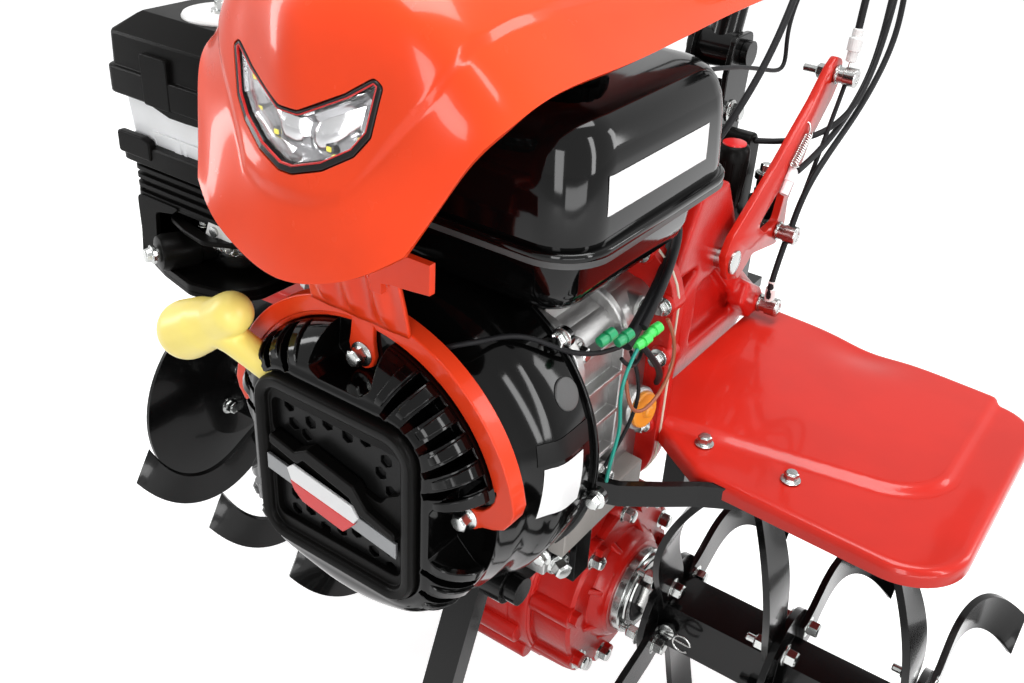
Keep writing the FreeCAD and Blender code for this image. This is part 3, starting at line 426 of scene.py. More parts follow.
def bolt(name, place, direction, flats, body="machine", washer=1.0, height=0.6, shank=0):
    """Flanged hexagon head on a washer, or a nut with a thread's end; flats is the width across flats."""
    r = flats / 2
    rim = r * (1.05 + 0.5 * washer)
    seat = flats * 0.17
    head = flats * height
    top = seat + head * 1.02
    rings = [(0, rim), (flats * 0.1, rim), (flats * 0.16, r * 1.12), (seat, r), (seat + head * 0.85, r),
             (seat + head, r * 0.86), (top, r * 0.6)]
    if shank:
        rings += [(top, shank / 2), (top + shank, shank / 2), (top + shank * 1.15, shank * 0.4)]
    axes = frame_of(direction)
    loops = [ring_about(place, axes, *ring, 24, k in (3, 4)) for k, ring in enumerate(rings)]
    return loops_solid(name, loops, "zinc", body, angle=25)


def joined(name, objs):
    """Several pieces on one body made into one; materials are kept."""
    body = objs[0]["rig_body"]
    bm = bmesh.new()
    mats = []
    for obj in objs:
        mesh = obj.data.copy()
        mesh.transform(obj.matrix_world)
        offset = []
        for m in mesh.materials:
            if m not in mats:
                mats.append(m)
            offset.append(mats.index(m))
        for p in mesh.polygons:
            p.material_index = offset[p.material_index]
        bm.from_mesh(mesh)
        bpy.data.meshes.remove(mesh)
    out = bpy.data.meshes.new(name)
    bm.to_mesh(out)
    bm.free()
    for m in mats:
        out.materials.append(m)
    for obj in objs:
        bpy.data.objects.remove(obj)
    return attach(placed(name, out), body)


def mirrored(obj, name):
    """The piece's mirror image across the machine's middle."""
    mesh = obj.data.copy()
    mesh.transform(obj.matrix_world)
    mesh.transform(Matrix.Scale(-1, 4, (1, 0, 0)))
    mesh.flip_normals()
    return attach(placed(name, mesh), obj["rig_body"])


def cable(name, points, r, mat, body="machine"):
    """Round cable along a smooth line through given control points, in millimetres."""
    curve = bpy.data.curves.new(name, "CURVE")
    curve.dimensions = "3D"
    curve.bevel_depth = r * MM
    curve.bevel_resolution = 3
    curve.use_fill_caps = True
    spline = curve.splines.new("NURBS")
    spline.points.add(len(points) - 1)
    for target, p in zip(spline.points, points):
        target.co = (*at(*p), 1)
    spline.order_u = min(4, len(points))
    spline.use_endpoint_u = True
    spline.resolution_u = 8
    curve.materials.append(MAT[mat])
    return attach(placed(name, curve), body)


def rounded_loop(x0, x1, y0, y1, r, steps=8):
    """Rounded rectangle, (x, y) pairs."""
    out = []
    for cx, cy, start in ((x1 - r, y1 - r, 0), (x0 + r, y1 - r, 90), (x0 + r, y0 + r, 180),
                          (x1 - r, y0 + r, 270)):
        for k in range(steps + 1):
            t = math.radians(start + 90 * k / steps)
            out.append((cx + r * math.cos(t), cy + r * math.sin(t)))
    return out


def moved(outline, u, v):
    """The outline moved in its plane."""
    return [(a + u, b + v) for a, b in outline]


def smooth(t):
    """Soft step from 0 to 1."""
    t = min(1, max(0, t))
    return t * t * (3 - 2 * t)


# ---------------------------------------------------------------- hood and lamp
HOOD_HALF_X = 116.0
HOOD_FRONT_Y = -319.0
HOOD_TOP_Z = 784.0
HOOD_WALL = 4.0
hood_rows = [
    [(0, -17, -172), (0.34, -13, -163), (0.56, -8, -150), (0.7, 0, -138)],
    [(0, -12, -144), (0.35, -8, -139), (0.62, 0, -130), (0.79, 12, -116)],
    [(0, -4, -112), (0.36, 5, -108), (0.68, 14, -100), (0.89, 25, -88)],
    [(0, 0, -75), (0.38, 12, -72), (0.73, 24, -68), (0.98, 44, -71)],
    [(0, 3, -44), (0.4, 18, -43), (0.75, 34, -44), (1, 68, -63)],
    [(0, 14, -18), (0.4, 26, -18), (0.75, 50, -32), (1, 98, -60)],
    [(0, 42, -3), (0.4, 48, -5), (0.74, 76, -27), (1, 134, -60)],
    [(0, 90, 3), (0.4, 94, 0), (0.76, 122, -26), (0.99, 170, -61)],
    [(0, 170, 0), (0.4, 171, -4), (0.78, 188, -29), (0.98, 224, -60)],
    [(0, 249, -9), (0.4, 250, -12), (0.8, 258, -32), (0.97, 282, -58)],
    [(0, 320, -17), (0.4, 320, -19), (0.8, 320, -36), (0.96, 332, -57)],
    [(0, 386, -26), (0.4, 386, -28), (0.79, 386, -40), (0.95, 388, -57)]]


def clamped_knots(count):
    """Knots of a clamped uniform cubic with the count of poles."""
    return [0] * 3 + list(range(count - 2)) + [count - 3] * 3


def spline_weights(count, t):
    """Clamped uniform cubic weights of each pole at t, from 0 to count - 3."""
    knots = clamped_knots(count)
    spans = list(zip(knots, knots[1:]))
    w = [float(low <= t < high or t == knots[-1] == high > low) for low, high in spans]
    for degree in range(1, 4):
        up = [(t - low) / (high - low) if high > low else 0 for low, high in zip(knots, knots[degree:])]
        w = [up[i] * w[i] + (1 - up[i + 1]) * w[i + 1] for i in range(len(w) - 1)]
    return np.array(w[:count])


class Skin:
    """The hood's outer surface, fitted to its rows as in the CAD."""

    def __init__(self):
        full = []
        for row in hood_rows:
            left = [(HOOD_HALF_X * x, HOOD_FRONT_Y + y, HOOD_TOP_Z + z) for x, y, z in row]
            full.append([(-p[0], p[1], p[2]) for p in left[:0:-1]] + left)
        target = np.array(full, float)
        self.rows, self.cols = target.shape[:2]
        fit = []
        for count in (self.rows, self.cols):
            knots = clamped_knots(count)
            fit.append(np.array([spline_weights(count, sum(knots[i + 1:i + 4]) / 3) for i in range(count)]))
        self.poles = target.copy()
        for _ in range(2):
            self.poles += target - np.einsum("ai,bj,ijk->abk", fit[0], fit[1], self.poles)

    def points(self, us, vs):
        """Grid of points at shares us of the length and vs of the width."""
        wu = np.array([spline_weights(self.rows, u * (self.rows - 3)) for u in us])
        wv = np.array([spline_weights(self.cols, v * (self.cols - 3)) for v in vs])
        return np.einsum("ai,bj,ijk->abk", wu, wv, self.poles)


SKIN = Skin()
lamp_half = [(5, 673), (24, 679), (42, 690), (51, 702), (56, 730), (50, 734), (34, 723), (7, 709.5)]


def fillet(points, r, steps=5):
    """Closed outline with its corners rounded to the radius, or less where a side is short."""
    out = []
    n = len(points)
    for i in range(n):
        before, here, after = Vector(points[i - 1]), Vector(points[i]), Vector(points[(i + 1) % n])
        a, b = (before - here), (after - here)
        half = a.angle(b) / 2
        run = min(r / math.tan(half), a.length * 0.48, b.length * 0.48)
        p, q = here + a.normalized() * run, here + b.normalized() * run
        for k in range(steps + 1):
            t = k / steps
            out.append(tuple(p * (1 - t) ** 2 + here * 2 * t * (1 - t) + q * t * t))
    return out


lamp_loop = fillet(lamp_half + [(-x, z) for x, z in lamp_half[::-1]], 4)


def inset_loop(loop, depth):
    """Closed (x, z) outline moved inwards by depth."""
    out = []
    n = len(loop)
    area = sum(loop[i][0] * loop[(i + 1) % n][1] - loop[(i + 1) % n][0] * loop[i][1] for i in range(n))
    turn = 1 if area > 0 else -1
    for i in range(n):
        before, here, after = Vector(loop[i - 1]), Vector(loop[i]), Vector(loop[(i + 1) % n])
        t = (after - before).normalized()
        out.append((here.x - t.y * depth * turn, here.y + t.x * depth * turn))
    return out


face_points = SKIN.points(np.linspace(0, 0.62, 60), np.linspace(0.02, 0.98, 60))
face_tree = BVHTree.FromPolygons([Vector(p) for row in face_points for p in row], grid_faces(60, 60))


def skin_y(x, z):
    """The hood skin's y at a place on its face."""
    return face_tree.ray_cast(Vector((x, -1000, z)), Vector((0, 1, 0)))[0].y


# a point from its place on an axis and its two places square to it
ON_AXIS = {
    "x": lambda a, u, v: at(a, u, v),
    "y": lambda a, u, v: at(u, a, v),
    "z": lambda a, u, v: at(u, v, a),
}


def prism_part(outline, low, high, axis="y"):
    """Verts and faces of a prism along the axis, from its closed outline."""
    n = len(outline)
    verts = [ON_AXIS[axis](a, u, v) for a in (low, high) for u, v in outline]
    faces = [(i, (i + 1) % n, n + (i + 1) % n, n + i) for i in range(n)]
    return verts, faces + [tuple(range(n))[::-1], tuple(range(n, 2 * n))]


def prism(name, outline, low, high, mat, axis="y", bevel=0.0, segments=2, edge_angle=40):
    """Plate or bar between two places on the axis, from its closed outline."""
    loops = [[ON_AXIS[axis](a, u, v) for u, v in outline] for a in (low, high)]
    obj = loops_solid(name, loops, mat, angle=30)
    if bevel:
        bevelled(obj, bevel, segments, edge_angle)
    return obj


def cutter_of(parts):
    """One cutter from several closed (verts, faces) parts that don't touch."""
    verts, faces = [], []
    for v, f in parts:
        base = len(verts)
        verts += v
        faces += [tuple(base + i for i in face) for face in f]
    obj = placed("cutter", mesh_of("cutter", verts, faces))
    tidy_normals(obj)
    return obj


def cut_with(obj, cutter):
    """Cuts the cutter out of the piece and removes the cutter."""
    mod = obj.modifiers.new("cut", "BOOLEAN")
    mod.operation = "DIFFERENCE"
    mod.solver = "EXACT"
    mod.object = cutter
    applied(obj)
    bpy.data.objects.remove(cutter)


def build_hood():
    """Hood shell on the fitted skin, with the lamp's opening cut through it."""
    us = np.linspace(0, 1, 150)
    vs = np.linspace(0, 1, 131)
    outer = SKIN.points(us, vs)
    du = np.gradient(outer, axis=0)
    dv = np.gradient(outer, axis=1)
    normal = np.cross(dv, du)
    normal /= np.linalg.norm(normal, axis=2)[:, :, None]
    # the mask round the lamp stands a little proud, down to a smile-shaped crease
    crease_x = [0, 20, 37, 50, 62, 78, 86, 93]
    crease_z = [661, 661.5, 667, 684, 702, 725, 746, 800]
    above = outer[:, :, 2] - np.interp(np.abs(outer[:, :, 0]), crease_x, crease_z)
    share = np.clip(above / 12 + 0.5, 0, 1)
    outer = outer + normal * (2.0 * share * share * (3 - 2 * share))[:, :, None]
    inner = outer - normal * HOOD_WALL
    n_rows, n_cols = outer.shape[:2]
    count = n_rows * n_cols
    verts = [at(*p) for p in outer.reshape(-1, 3)] + [at(*p) for p in inner.reshape(-1, 3)]
    faces = grid_faces(n_rows, n_cols)
    faces += [tuple(count + i for i in f[::-1]) for f in faces]
    border = list(range(n_cols)) + [i * n_cols + n_cols - 1 for i in range(1, n_rows)]
    border += [(n_rows - 1) * n_cols + j for j in range(n_cols - 2, -1, -1)]
    border += [i * n_cols for i in range(n_rows - 2, 0, -1)]
    for a, b in zip(border, border[1:] + border[:1]):
        faces.append((b, a, count + a, count + b))
    hood = make("hood_shell", verts, faces, "hood", angle=50)
    cut_with(hood, cutter_of([prism_part(lamp_loop, HOOD_FRONT_Y - 60, HOOD_FRONT_Y + 90)]))
    shade(hood, 40)
    bevelled(hood, 1.1, 2, 50)
    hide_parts("hood")


def raised(inset):
    """The lamp's outline drawn in, and lifted so that the rim is thicker below than above."""
    return [(x, z + 1.2) for x, z in inset_loop(lamp_loop, inset)]


def lamp_band(name, mat, angle, rings):
    """Open band round the lamp: rings are (outline, millimetres below the hood's skin)."""
    loops = [[at(x, skin_y(x, z) - 1.8 + sink, z) for x, z in outline] for outline, sink in rings]
    return loops_solid(name, loops, mat, cap=(False, False), angle=angle)


def lamp_grid(n_u, n_v, half, low, rise, flat, high, depth):
    """Rows over the lamp's opening, whose lower edge rises beyond the flat share of its half width."""
    rows = []
    for k in range(n_v):
        v = k / (n_v - 1)
        row = []
        for i in range(n_u):
            u = -1 + 2 * i / (n_u - 1)
            bottom = low + rise * max(0, abs(u) - flat) / (1 - flat)
            x = u * half
            z = bottom + (high + 22 * abs(u) - bottom) * v
            row.append(at(x, depth(u, v, x, z), z))
        rows.append(row)
    return rows


def build_lamp():
    """Rim with its red line, reflector walls, faceted back, six emitters and the lens."""
    bezel = lamp_band("lamp_bezel", "lamp_rim", 40, [
        (lamp_loop, 9), (inset_loop(lamp_loop, 0.3), 0.5), (inset_loop(lamp_loop, 1.3), -0.6),
        (raised(3.3), -0.4), (raised(4.2), 1.2), (raised(4.4), 9)])
    thread = lamp_band("lamp_red_line", "badge_red", 40, [
        (raised(3.2), 0.2), (raised(3.4), -0.7), (raised(4.0), -0.6), (raised(4.2), 0.8)])
    steps_in = ((4.6, 2.5), (6.5, 9), (9.5, 12), (10, 20))
    walls = lamp_band("lamp_walls", "reflector", 50,
                      [(inset_loop(lamp_loop, inset), sink) for inset, sink in steps_in])
    random.seed(7)

    def facet(u, v, x, z):
        fold = 8 * abs(math.sin(u * 1.5 * math.pi)) - 12 * abs(v - 0.45)
        return skin_y(x * 0.97, z) + 15 - fold + random.uniform(-1.1, 1.1)

    back = sheet_of("lamp_reflector", lamp_grid(25, 6, 50, 677, 14, 0.2, 706, facet), "reflector", angle=28)
    emitters = []
    case_and_die = (("led_case", ((6, 1, 1), (0.6, 1, 1), (0, 0.8, 0.8))),
                    ("led_yellow", ((0.4, 0.55, 0.6), (-0.5, 0.55, 0.6))))
    for side in (-1, 1):
        for x, z in ((45, 712), (38, 696), (20, 688)):
            y = skin_y(side * x, z) + 8
            outline = rounded_loop(-3.1, 3.1, -2.4, 2.4, 0.8, 3)
            for mat, levels in case_and_die:
                loops = []
                for dy, wide, tall in levels:
                    loops.append([at(side * x + dx * wide, y + dy, z + dz * tall) for dx, dz in outline])
                emitters.append(loops_solid("led_%d" % len(emitters), loops, mat))
    leds = joined("lamp_leds", emitters)
    window = lamp_grid(41, 13, 53, 674, 22, 0.15, 708.5, lambda u, v, x, z: skin_y(x, z) + 1.6)
    lens = thickened(sheet_of("lamp_lens", window, "lens"), 1.2)
    lens.visible_shadow = False
    for piece in (bezel, thread, walls, back, leds, lens):
        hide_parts("headlamp")


# ---------------------------------------------------------------- tank
def build_tank():
    """Upper and lower halves, the pinched seam with its rubber, and a blank strip on the left."""
    _, x1, y0, y1, z0, z1 = mm_box("fuel_tank")
    lip = 5.0
    x1 -= lip
    y0 += lip
    y1 -= lip
    seam_z = z0 + 58.0
    corner_r = 37

    def shell(name, rings, mat, cap):
        """Rounded skin over rings of (inset, z, corner radius)."""
        loops = []
        for inset, z, r in rings:
            outline = rounded_loop(-x1 + inset, x1 - inset, y0 + inset, y1 - inset, r, 10)
            loops.append([at(x, y, z) for x, y in outline])
        piece = loops_solid(name, loops, mat, cap=cap, angle=60)
        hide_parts("fuel_tank")

    shell("tank_upper", [
        (0.5, seam_z + 3, 34), (0, seam_z + 12, 35), (0.6, z1 - 52, corner_r), (1.6, z1 - 34, 38),
        (3.6, z1 - 22, 38), (7, z1 - 13, 36), (12, z1 - 6.5, 33), (19, z1 - 2.4, 28), (27, z1 - 0.6, 22),
        (36, z1, 16)],
        "tank_black", (False, True))
    shell("tank_lower", [
        (38, z0, 18), (26, z0 + 3, 24), (19, z0 + 10, 27), (15, z0 + 22, 27), (13.5, seam_z - 12, 26),
        (13, seam_z - 3, 26)],
        "tank_black", (True, False))
    shell("tank_seam", [
        (1, seam_z - 3.4, 35), (-lip + 1, seam_z - 3.2, 38), (-lip, seam_z - 1.8, 39),
        (-lip, seam_z + 1.8, 39), (-lip + 1, seam_z + 3, 38), (0.5, seam_z + 3, 35)], "tank_black",
        (True, True))
    shell("tank_seam_rubber", [
        (-lip + 0.2, seam_z - 6.5, 38), (-lip, seam_z - 6, 39), (-lip, seam_z - 2.2, 39),
        (-lip + 3, seam_z - 2, 38)],
        "ribbed_rubber", (False, False))

    def wall_x(y, z):
        """The upper half's left wall, round its front corner."""
        inset = float(np.interp(z, (seam_z + 12, z1 - 52, z1 - 34, z1 - 22), (0, 0.6, 1.6, 3.6)))
        into_corner = max(0, y0 + inset + corner_r - y)
        return x1 - inset - corner_r + math.sqrt(corner_r ** 2 - into_corner ** 2)

    strip = [[at(wall_x(y, z) + 0.4, y, z) for y in np.linspace(-180, -48, 25)]
             for z in np.linspace(636, 662, 5)]
    sheet_of("tank_strip_blank", strip, "badge_white")


# ---------------------------------------------------------------- fenders
def build_fender():
    """Pressed fender with a rounded rim, a raised panel and a shallow bowl at its rear, and its twin."""
    x0, x1, _, _, _, z1 = mm_box("fender_left")
    x0 -= 22
    top = z1 - 5.0
    front, rear = -66.0, 196.0
    corner = 50.0
    rear_corner = 40.0
    roll = 7.0
    panel_x = x1 - 40
    panel_corner = 44
    knee_x = 165

    def arc_back(r, d):
        """How far a corner of radius r has drawn back at the distance d into it."""
        return r - math.sqrt(max(0, r ** 2 - d ** 2)) if d > 0 else 0.0

    def front_edge(x):
        return front - 8 * (x - knee_x) / 135 if x > knee_x else front + 36 * (knee_x - x) / 53

    corner_x = x1 - corner
    corner_y = front_edge(corner_x) + corner
    rear_x = x1 - rear_corner

    def y_front(x):
        return corner_y - corner + arc_back(corner, x - corner_x) if x > corner_x else front_edge(x)

    def y_rear(x):
        return rear + 24 * (1 - (x - x0) / (x1 - x0)) - arc_back(rear_corner, x - rear_x)

    def height(x, y):
        to_front = y - y_front(x)
        if x >= corner_x:
            to_front = corner - math.hypot(x - corner_x, min(0, y - corner_y))
        to_rear = y_rear(x) - y
        if x >= rear_x:
            to_rear = rear_corner - math.hypot(x - rear_x, max(0, y - (rear - rear_corner)))
        drop = arc_back(roll, roll - min(x1 - x, to_front, to_rear))
        dx = panel_x - x
        dy = y - (-28 + 40 * (x - x0) / (panel_x - x0))
        inside = min(dx, dy)
        if dx < panel_corner and dy < panel_corner:
            inside = panel_corner - math.hypot(panel_corner - dx, panel_corner - dy)
        rise = 5.0 * smooth((inside + 5) / 10)
        bowl = math.exp(-(((x - 208) / 36) ** 2 + ((y - 196) / 30) ** 2) * 1.2)
        return top - drop + rise - 5.5 * bowl

    count = 84
    down = Vector((0, 0, -8.0 * MM))
    rows = []
    for i in range(count):
        u = i / (count - 1)
        x = min(x1 - 0.01, x0 + (x1 - x0) * (1 - (1 - u) ** 1.35))
        row = []
        for j in range(count):
            v = j / (count - 1)
            v = v + 0.5 * (smooth(v) - v)
            y = y_front(x) + (y_rear(x) - y_front(x)) * v
            row.append(at(x, y, height(x, y)))
        rows.append([row[0] + down] + row + [row[-1] + down])
    rows.append([rows[-1][0]] + [p + down for p in rows[-1][1:-1]] + [rows[-1][-1]])
    sheet = applied(thickened(sheet_of("fender_left_sheet", rows, "fender", angle=70), 2.6))
    shade(sheet, 60)
    twin = mirrored(sheet, "fender_right_sheet")
    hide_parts("fender_left")
    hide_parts("fender_right")


# ---------------------------------------------------------------- fan cover, starter, guard hoop
CRANK_Z = 435.0
FRONT_Y = -300.0
GRILLE_HALF = 71.0
FAN_R = 116.0
HOOP_Y0 = -263.0
HOOP_Y1 = -251.0
HOOP_R = 130.0
HOOP_BORE_R = 117.2


def square_reach(angle, half, r):
    """Distance from the middle to a rounded square's edge."""
    c, s = abs(math.cos(angle)), abs(math.sin(angle))
    k = half - r
    for a, b in ((c, s), (s, c)):
        if a * half and half / a * b <= k:
            return half / a
    m = k * (c + s)
    return m + math.sqrt(max(0, m * m - 2 * k * k + r * r))


def polar(angle, reach, y):
    """Point at a reach from the crankshaft's line."""
    return at(reach * math.cos(angle), y, CRANK_Z + reach * math.sin(angle))


def radial_box(angle, half_w, r0, r1, y0, y1, taper=1.0):
    """Verts and faces of a box lying along a radius about the crankshaft."""
    a = math.radians(angle)
    out = Vector((math.cos(a), 0, math.sin(a)))
    side = Vector((-math.sin(a), 0, math.cos(a)))
    verts = []
    for y in (y0, y1):
        for r, w in ((r0, half_w * taper), (r1, half_w)):
            for s in (-1, 1):
                verts.append(at(0, y, CRANK_Z) + (out * r + side * w * s) * MM)
    faces = [(0, 1, 3, 2), (4, 6, 7, 5), (0, 4, 5, 1), (2, 3, 7, 6), (0, 2, 6, 4), (1, 5, 7, 3)]
    return verts, faces


SHOULDER_HALF = 79.0
SHOULDER_R = 33.0
SHOULDER_SLOTS = [21, 31, 41, 51, 61, 119, 129, 139, 149, 159, -24, -35, -145, -156]


def shoulder(angle, b):
    """Reach and y of the cover's round shoulder, at b from its face to its side."""
    edge = square_reach(angle, SHOULDER_HALF, SHOULDER_R)
    reach = edge + (FAN_R - 3 - edge) * math.sin(b) ** 1.15
    return reach, FRONT_Y + 7.2 + (HOOP_Y0 - FRONT_Y - 7) * (1 - math.cos(b))


def cover_rib(name, angle):
    """Raised rib that runs over the shoulder."""
    a = math.radians(angle)
    across = Vector((-math.sin(a), 0, math.cos(a)))
    loops = []
    for k, h in enumerate((-0.5, 0.9, 1.7, 1.9, 1.9, 1.9, 1.9, 1.7, 0.6)):
        b = math.radians(6 + 9.4 * k)
        centre = polar(a, *shoulder(a, b))
        out = Vector((math.cos(a) * math.sin(b), -math.cos(b), math.sin(a) * math.sin(b)))
        w = 3.0 + 0.2 * k
        section = [(-w, -3), (-w, h - 0.7), (-w + 0.7, h), (w - 0.7, h), (w, h - 0.7), (w, -3)]
        loops.append([centre + across * s * MM + out * u * MM for s, u in section])
    return loops_solid(name, loops, "gloss_black", angle=30)


def build_fan_cover():
    """Cover with its slots, pockets and ribs; its blank plates, plug, rear flange and screws."""
    _, _, _, y1, floor_z, _ = mm_box("fan_cover")
    face = ((16, 71.6), (8, 71.8), (6.5, 72.6), (6, 74), (6.2, 77.5), (7.2, SHOULDER_HALF))
    stations = [lambda t, y=y, half=half: (square_reach(t, half, 25 + half - 71), FRONT_Y + y)
                for y, half in face]
    stations += [lambda t, k=k: shoulder(t, math.radians(9.4 * k)) for k in range(1, 10)]
    rear = FAN_R + 13
    drum = [(HOOP_Y0 + 1, FAN_R - 3), (HOOP_Y1 - 3, FAN_R - 2.6), (HOOP_Y1 + 6, FAN_R + 1),
            (HOOP_Y1 + 16, FAN_R + 2), (HOOP_Y1 + 26, FAN_R + 3.5), (y1 - 50, rear - 5),
            (y1 - 44, rear - 1.5), (y1 - 38, rear), (y1 - 30, rear + 0.3), (y1 - 5, rear + 0.3),
            (y1 - 1.5, rear - 0.6), (y1, rear - 2.5)]
    stations += [lambda t, y=y, r=r: (r, y) for y, r in drum]
    count = 144
    loops = []
    for station in stations:
        ring = [polar(t, *station(t)) for t in (2 * math.pi * i / count for i in range(count))]
        loops.append([Vector((p.x, p.y, max(p.z, floor_z * MM))) for p in ring])
    cover = loops_solid("fan_cover_shell", loops, "gloss_black", angle=40)
    slots = []
    for angle in SHOULDER_SLOTS:
        reach = square_reach(math.radians(angle), SHOULDER_HALF, SHOULDER_R)
        slots.append(radial_box(angle, 4.2, reach - 4, FAN_R - 3.5, FRONT_Y - 4, HOOP_Y0 + 4, 0.6))
    cut_with(cover, cutter_of(slots))
    pocket = fillet([(-25, 521), (-22, 552), (24, 552), (30, 524), (22, 516), (-14, 516)], 6)
    side = fillet([(80, 452), (92, 470), (118, 466), (118, 396), (96, 398), (80, 412)], 6)
    pockets = [pocket, side, [(-x, z) for x, z in side]]
    cut_with(cover, cutter_of([prism_part(outline, FRONT_Y - 4, HOOP_Y0 + 1.8) for outline in pockets]))
    shade(cover, 35)
    bevelled(cover, 0.9, 2, 50)
    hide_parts("fan_cover")
    rib_angles = (16, 26, 36, 46, 56, 66, 114, 124, 134, 144, 154, -18.5, -29.5, -40.5, -139.5, -150.5)
    ribs = joined("fan_cover_ribs", [cover_rib("rib_%d" % k, angle) for k, angle in enumerate(rib_angles)])
    # blank rating plate and blank sticker
    for name, y_a, y_b, z_a, z_b, mat in (("cover_plate_dark", -221, -172, 465, 480, "plate_black"),
                                          ("cover_plate_white", -219, -182, 424, 462, "badge_white")):
        rows = []
        for i in range(9):
            z = z_a + (z_b - z_a) * i / 8
            slant = 6 * (z_b - z) / 38
            rows.append([at(*on_drum(y_a + (y_b - y_a) * k / 8 - slant, z, 0.5)[0]) for k in range(9)])
        sheet_of(name, rows, mat)
    # cover's side: blanking plug, rear seam flange and its screws
    plug_place = on_drum(-184, 502)
    lathe("fan_cover_plug", *plug_place, [(-4, 12), (0.4, 12), (1.2, 11.4), (1.5, 10), (1.3, 0.1)],
          "satin_grey", segments=40)
    flange = []
    for y, r in ((y1 - 3.4, rear + 0.2), (y1 - 3.2, rear + 2.4), (y1 - 2.4, rear + 3), (y1 - 0.6, rear + 3),
                 (y1, rear + 2.4), (y1, rear - 2)):
        flange.append([polar(math.radians(-38 + 256 * i / 120), r, y) for i in range(121)])
    sheet_of("fan_cover_rear_flange", flange, "gloss_black", angle=40)
    for angle in (46, -9, -46):
        a = math.radians(angle)
        bolt("fan_cover_screw_%d" % (angle + 30),
             (math.cos(a) * (rear + 7), y1 - 4, CRANK_Z + math.sin(a) * (rear + 7)), (0, -1, 0), 10)
        pad = [(math.cos(t) * 8 + math.cos(a) * (rear + 6),
                CRANK_Z + math.sin(a) * (rear + 6) + math.sin(t) * 8)
                for t in (2 * math.pi * i / 24 for i in range(24))]
        prism("fan_cover_pad_%d" % (angle + 30), pad, y1 - 4, y1 + 2, "gloss_black", bevel=0.8)


def on_drum(y, z, lift=0.0):
    """Place and outward direction on the fan cover's left side at y and z."""
    r = FAN_R + float(np.interp(y, (HOOP_Y1 + 26, -215, -209, -203, -195), (3.5, 8, 11.5, 13, 13.3)))
    a = math.asin((z - CRANK_Z) / r)
    return (math.cos(a) * (r + lift), y, CRANK_Z + math.sin(a) * (r + lift)), (math.cos(a), 0, math.sin(a))


def build_starter():
    """Square grille with its screen, bar and blank badge."""
    y0 = FRONT_Y
    outer = rounded_loop(-GRILLE_HALF, GRILLE_HALF, CRANK_Z - GRILLE_HALF, CRANK_Z + GRILLE_HALF, 24, 12)
    loops = []
    for inset, depth in ((0, 19), (0, 3.5), (0.7, 1.2), (2.2, 0), (7.5, 0), (9, 0.9), (9.8, 2.6),
                         (10.4, 5)):
        loops.append([at(x, y0 + depth, z) for x, z in inset_loop(outer, inset)])
    plate = loops_solid("starter_frame", loops, "satin_black", angle=35)
    top = [(-58, 486), (58, 486), (58, 456), (46, 449), (40, 440), (14, 447), (-22, 456), (-30, 450),
           (-58, 457)]
    low = [(-58, 425), (-36, 421), (-30, 414), (2, 408), (10, 414), (58, 406), (58, 384), (-58, 384)]
    cut_with(plate, cutter_of([prism_part(fillet(outline, 8), y0 - 2, y0 + 24) for outline in (top, low)]))
    shade(plate, 35)
    bevelled(plate, 0.8, 2, 50)
    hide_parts("recoil_starter")
    # near-black plate behind the screen: painted shade standing in for the dark inside, so the hex holes
    # read black
    prism("starter_shade_plate", rounded_loop(-62, 62, 373, 497, 12, 6), y0 + 15, y0 + 17, "painted_shade_black")
    screen = prism("starter_screen", rounded_loop(-61, 61, 374, 496, 12, 6), y0 + 10, y0 + 12.5,
                   "screen_black")
    holes = []
    for x, z in ((-42, 466), (-46, 480), (-26, 474), (-10, 480), (8, 478), (24, 482), (37, 462), (42, 474),
                 (46, 450), (-30, 462), (-44, 404), (-30, 396), (-44, 390), (-16, 403), (0, 393), (14, 399),
                 (30, 390), (44, 399), (-16, 387), (46, 384)):
        hexagon = [(x + 5.2 * math.cos(math.radians(60 * k + 30)),
                    z + 5.2 * math.sin(math.radians(60 * k + 30))) for k in range(6)]
        holes.append(prism_part(hexagon, y0 + 8, y0 + 14))
    cut_with(screen, cutter_of(holes))
    bevelled(screen, 0.5, 1, 40)
    # moulded bar over the badge
    brow = [(-56, 450), (-30, 443), (-24, 449), (18, 438), (26, 428), (58, 420), (58, 427), (34, 435),
            (22, 450), (-20, 460), (-32, 453), (-56, 459)]
    bar = prism("starter_bar", fillet(brow, 3), y0 - 1.5, y0 + 9, "satin_black", bevel=1.6, segments=3)
    band = [(-61, 438), (58, 418), (58, 405), (-61, 425)]
    prism("starter_band", band, y0 + 0.5, y0 + 3, "band_grey", bevel=0.4)
    badge = [(-40, 436), (-34, 441), (20, 432), (26, 424), (18, 412), (12, 406), (-26, 413), (-34, 420)]
    prism("starter_badge", badge, y0 - 1.2, y0 + 1, "badge_white", bevel=0.5)
    low_half = [(-37, 427), (23, 418), (18, 412), (12, 406), (-26, 413), (-34, 420)]
    prism("starter_badge_red", low_half, y0 - 1.5, y0 + 0.6, "badge_red", bevel=0.3)


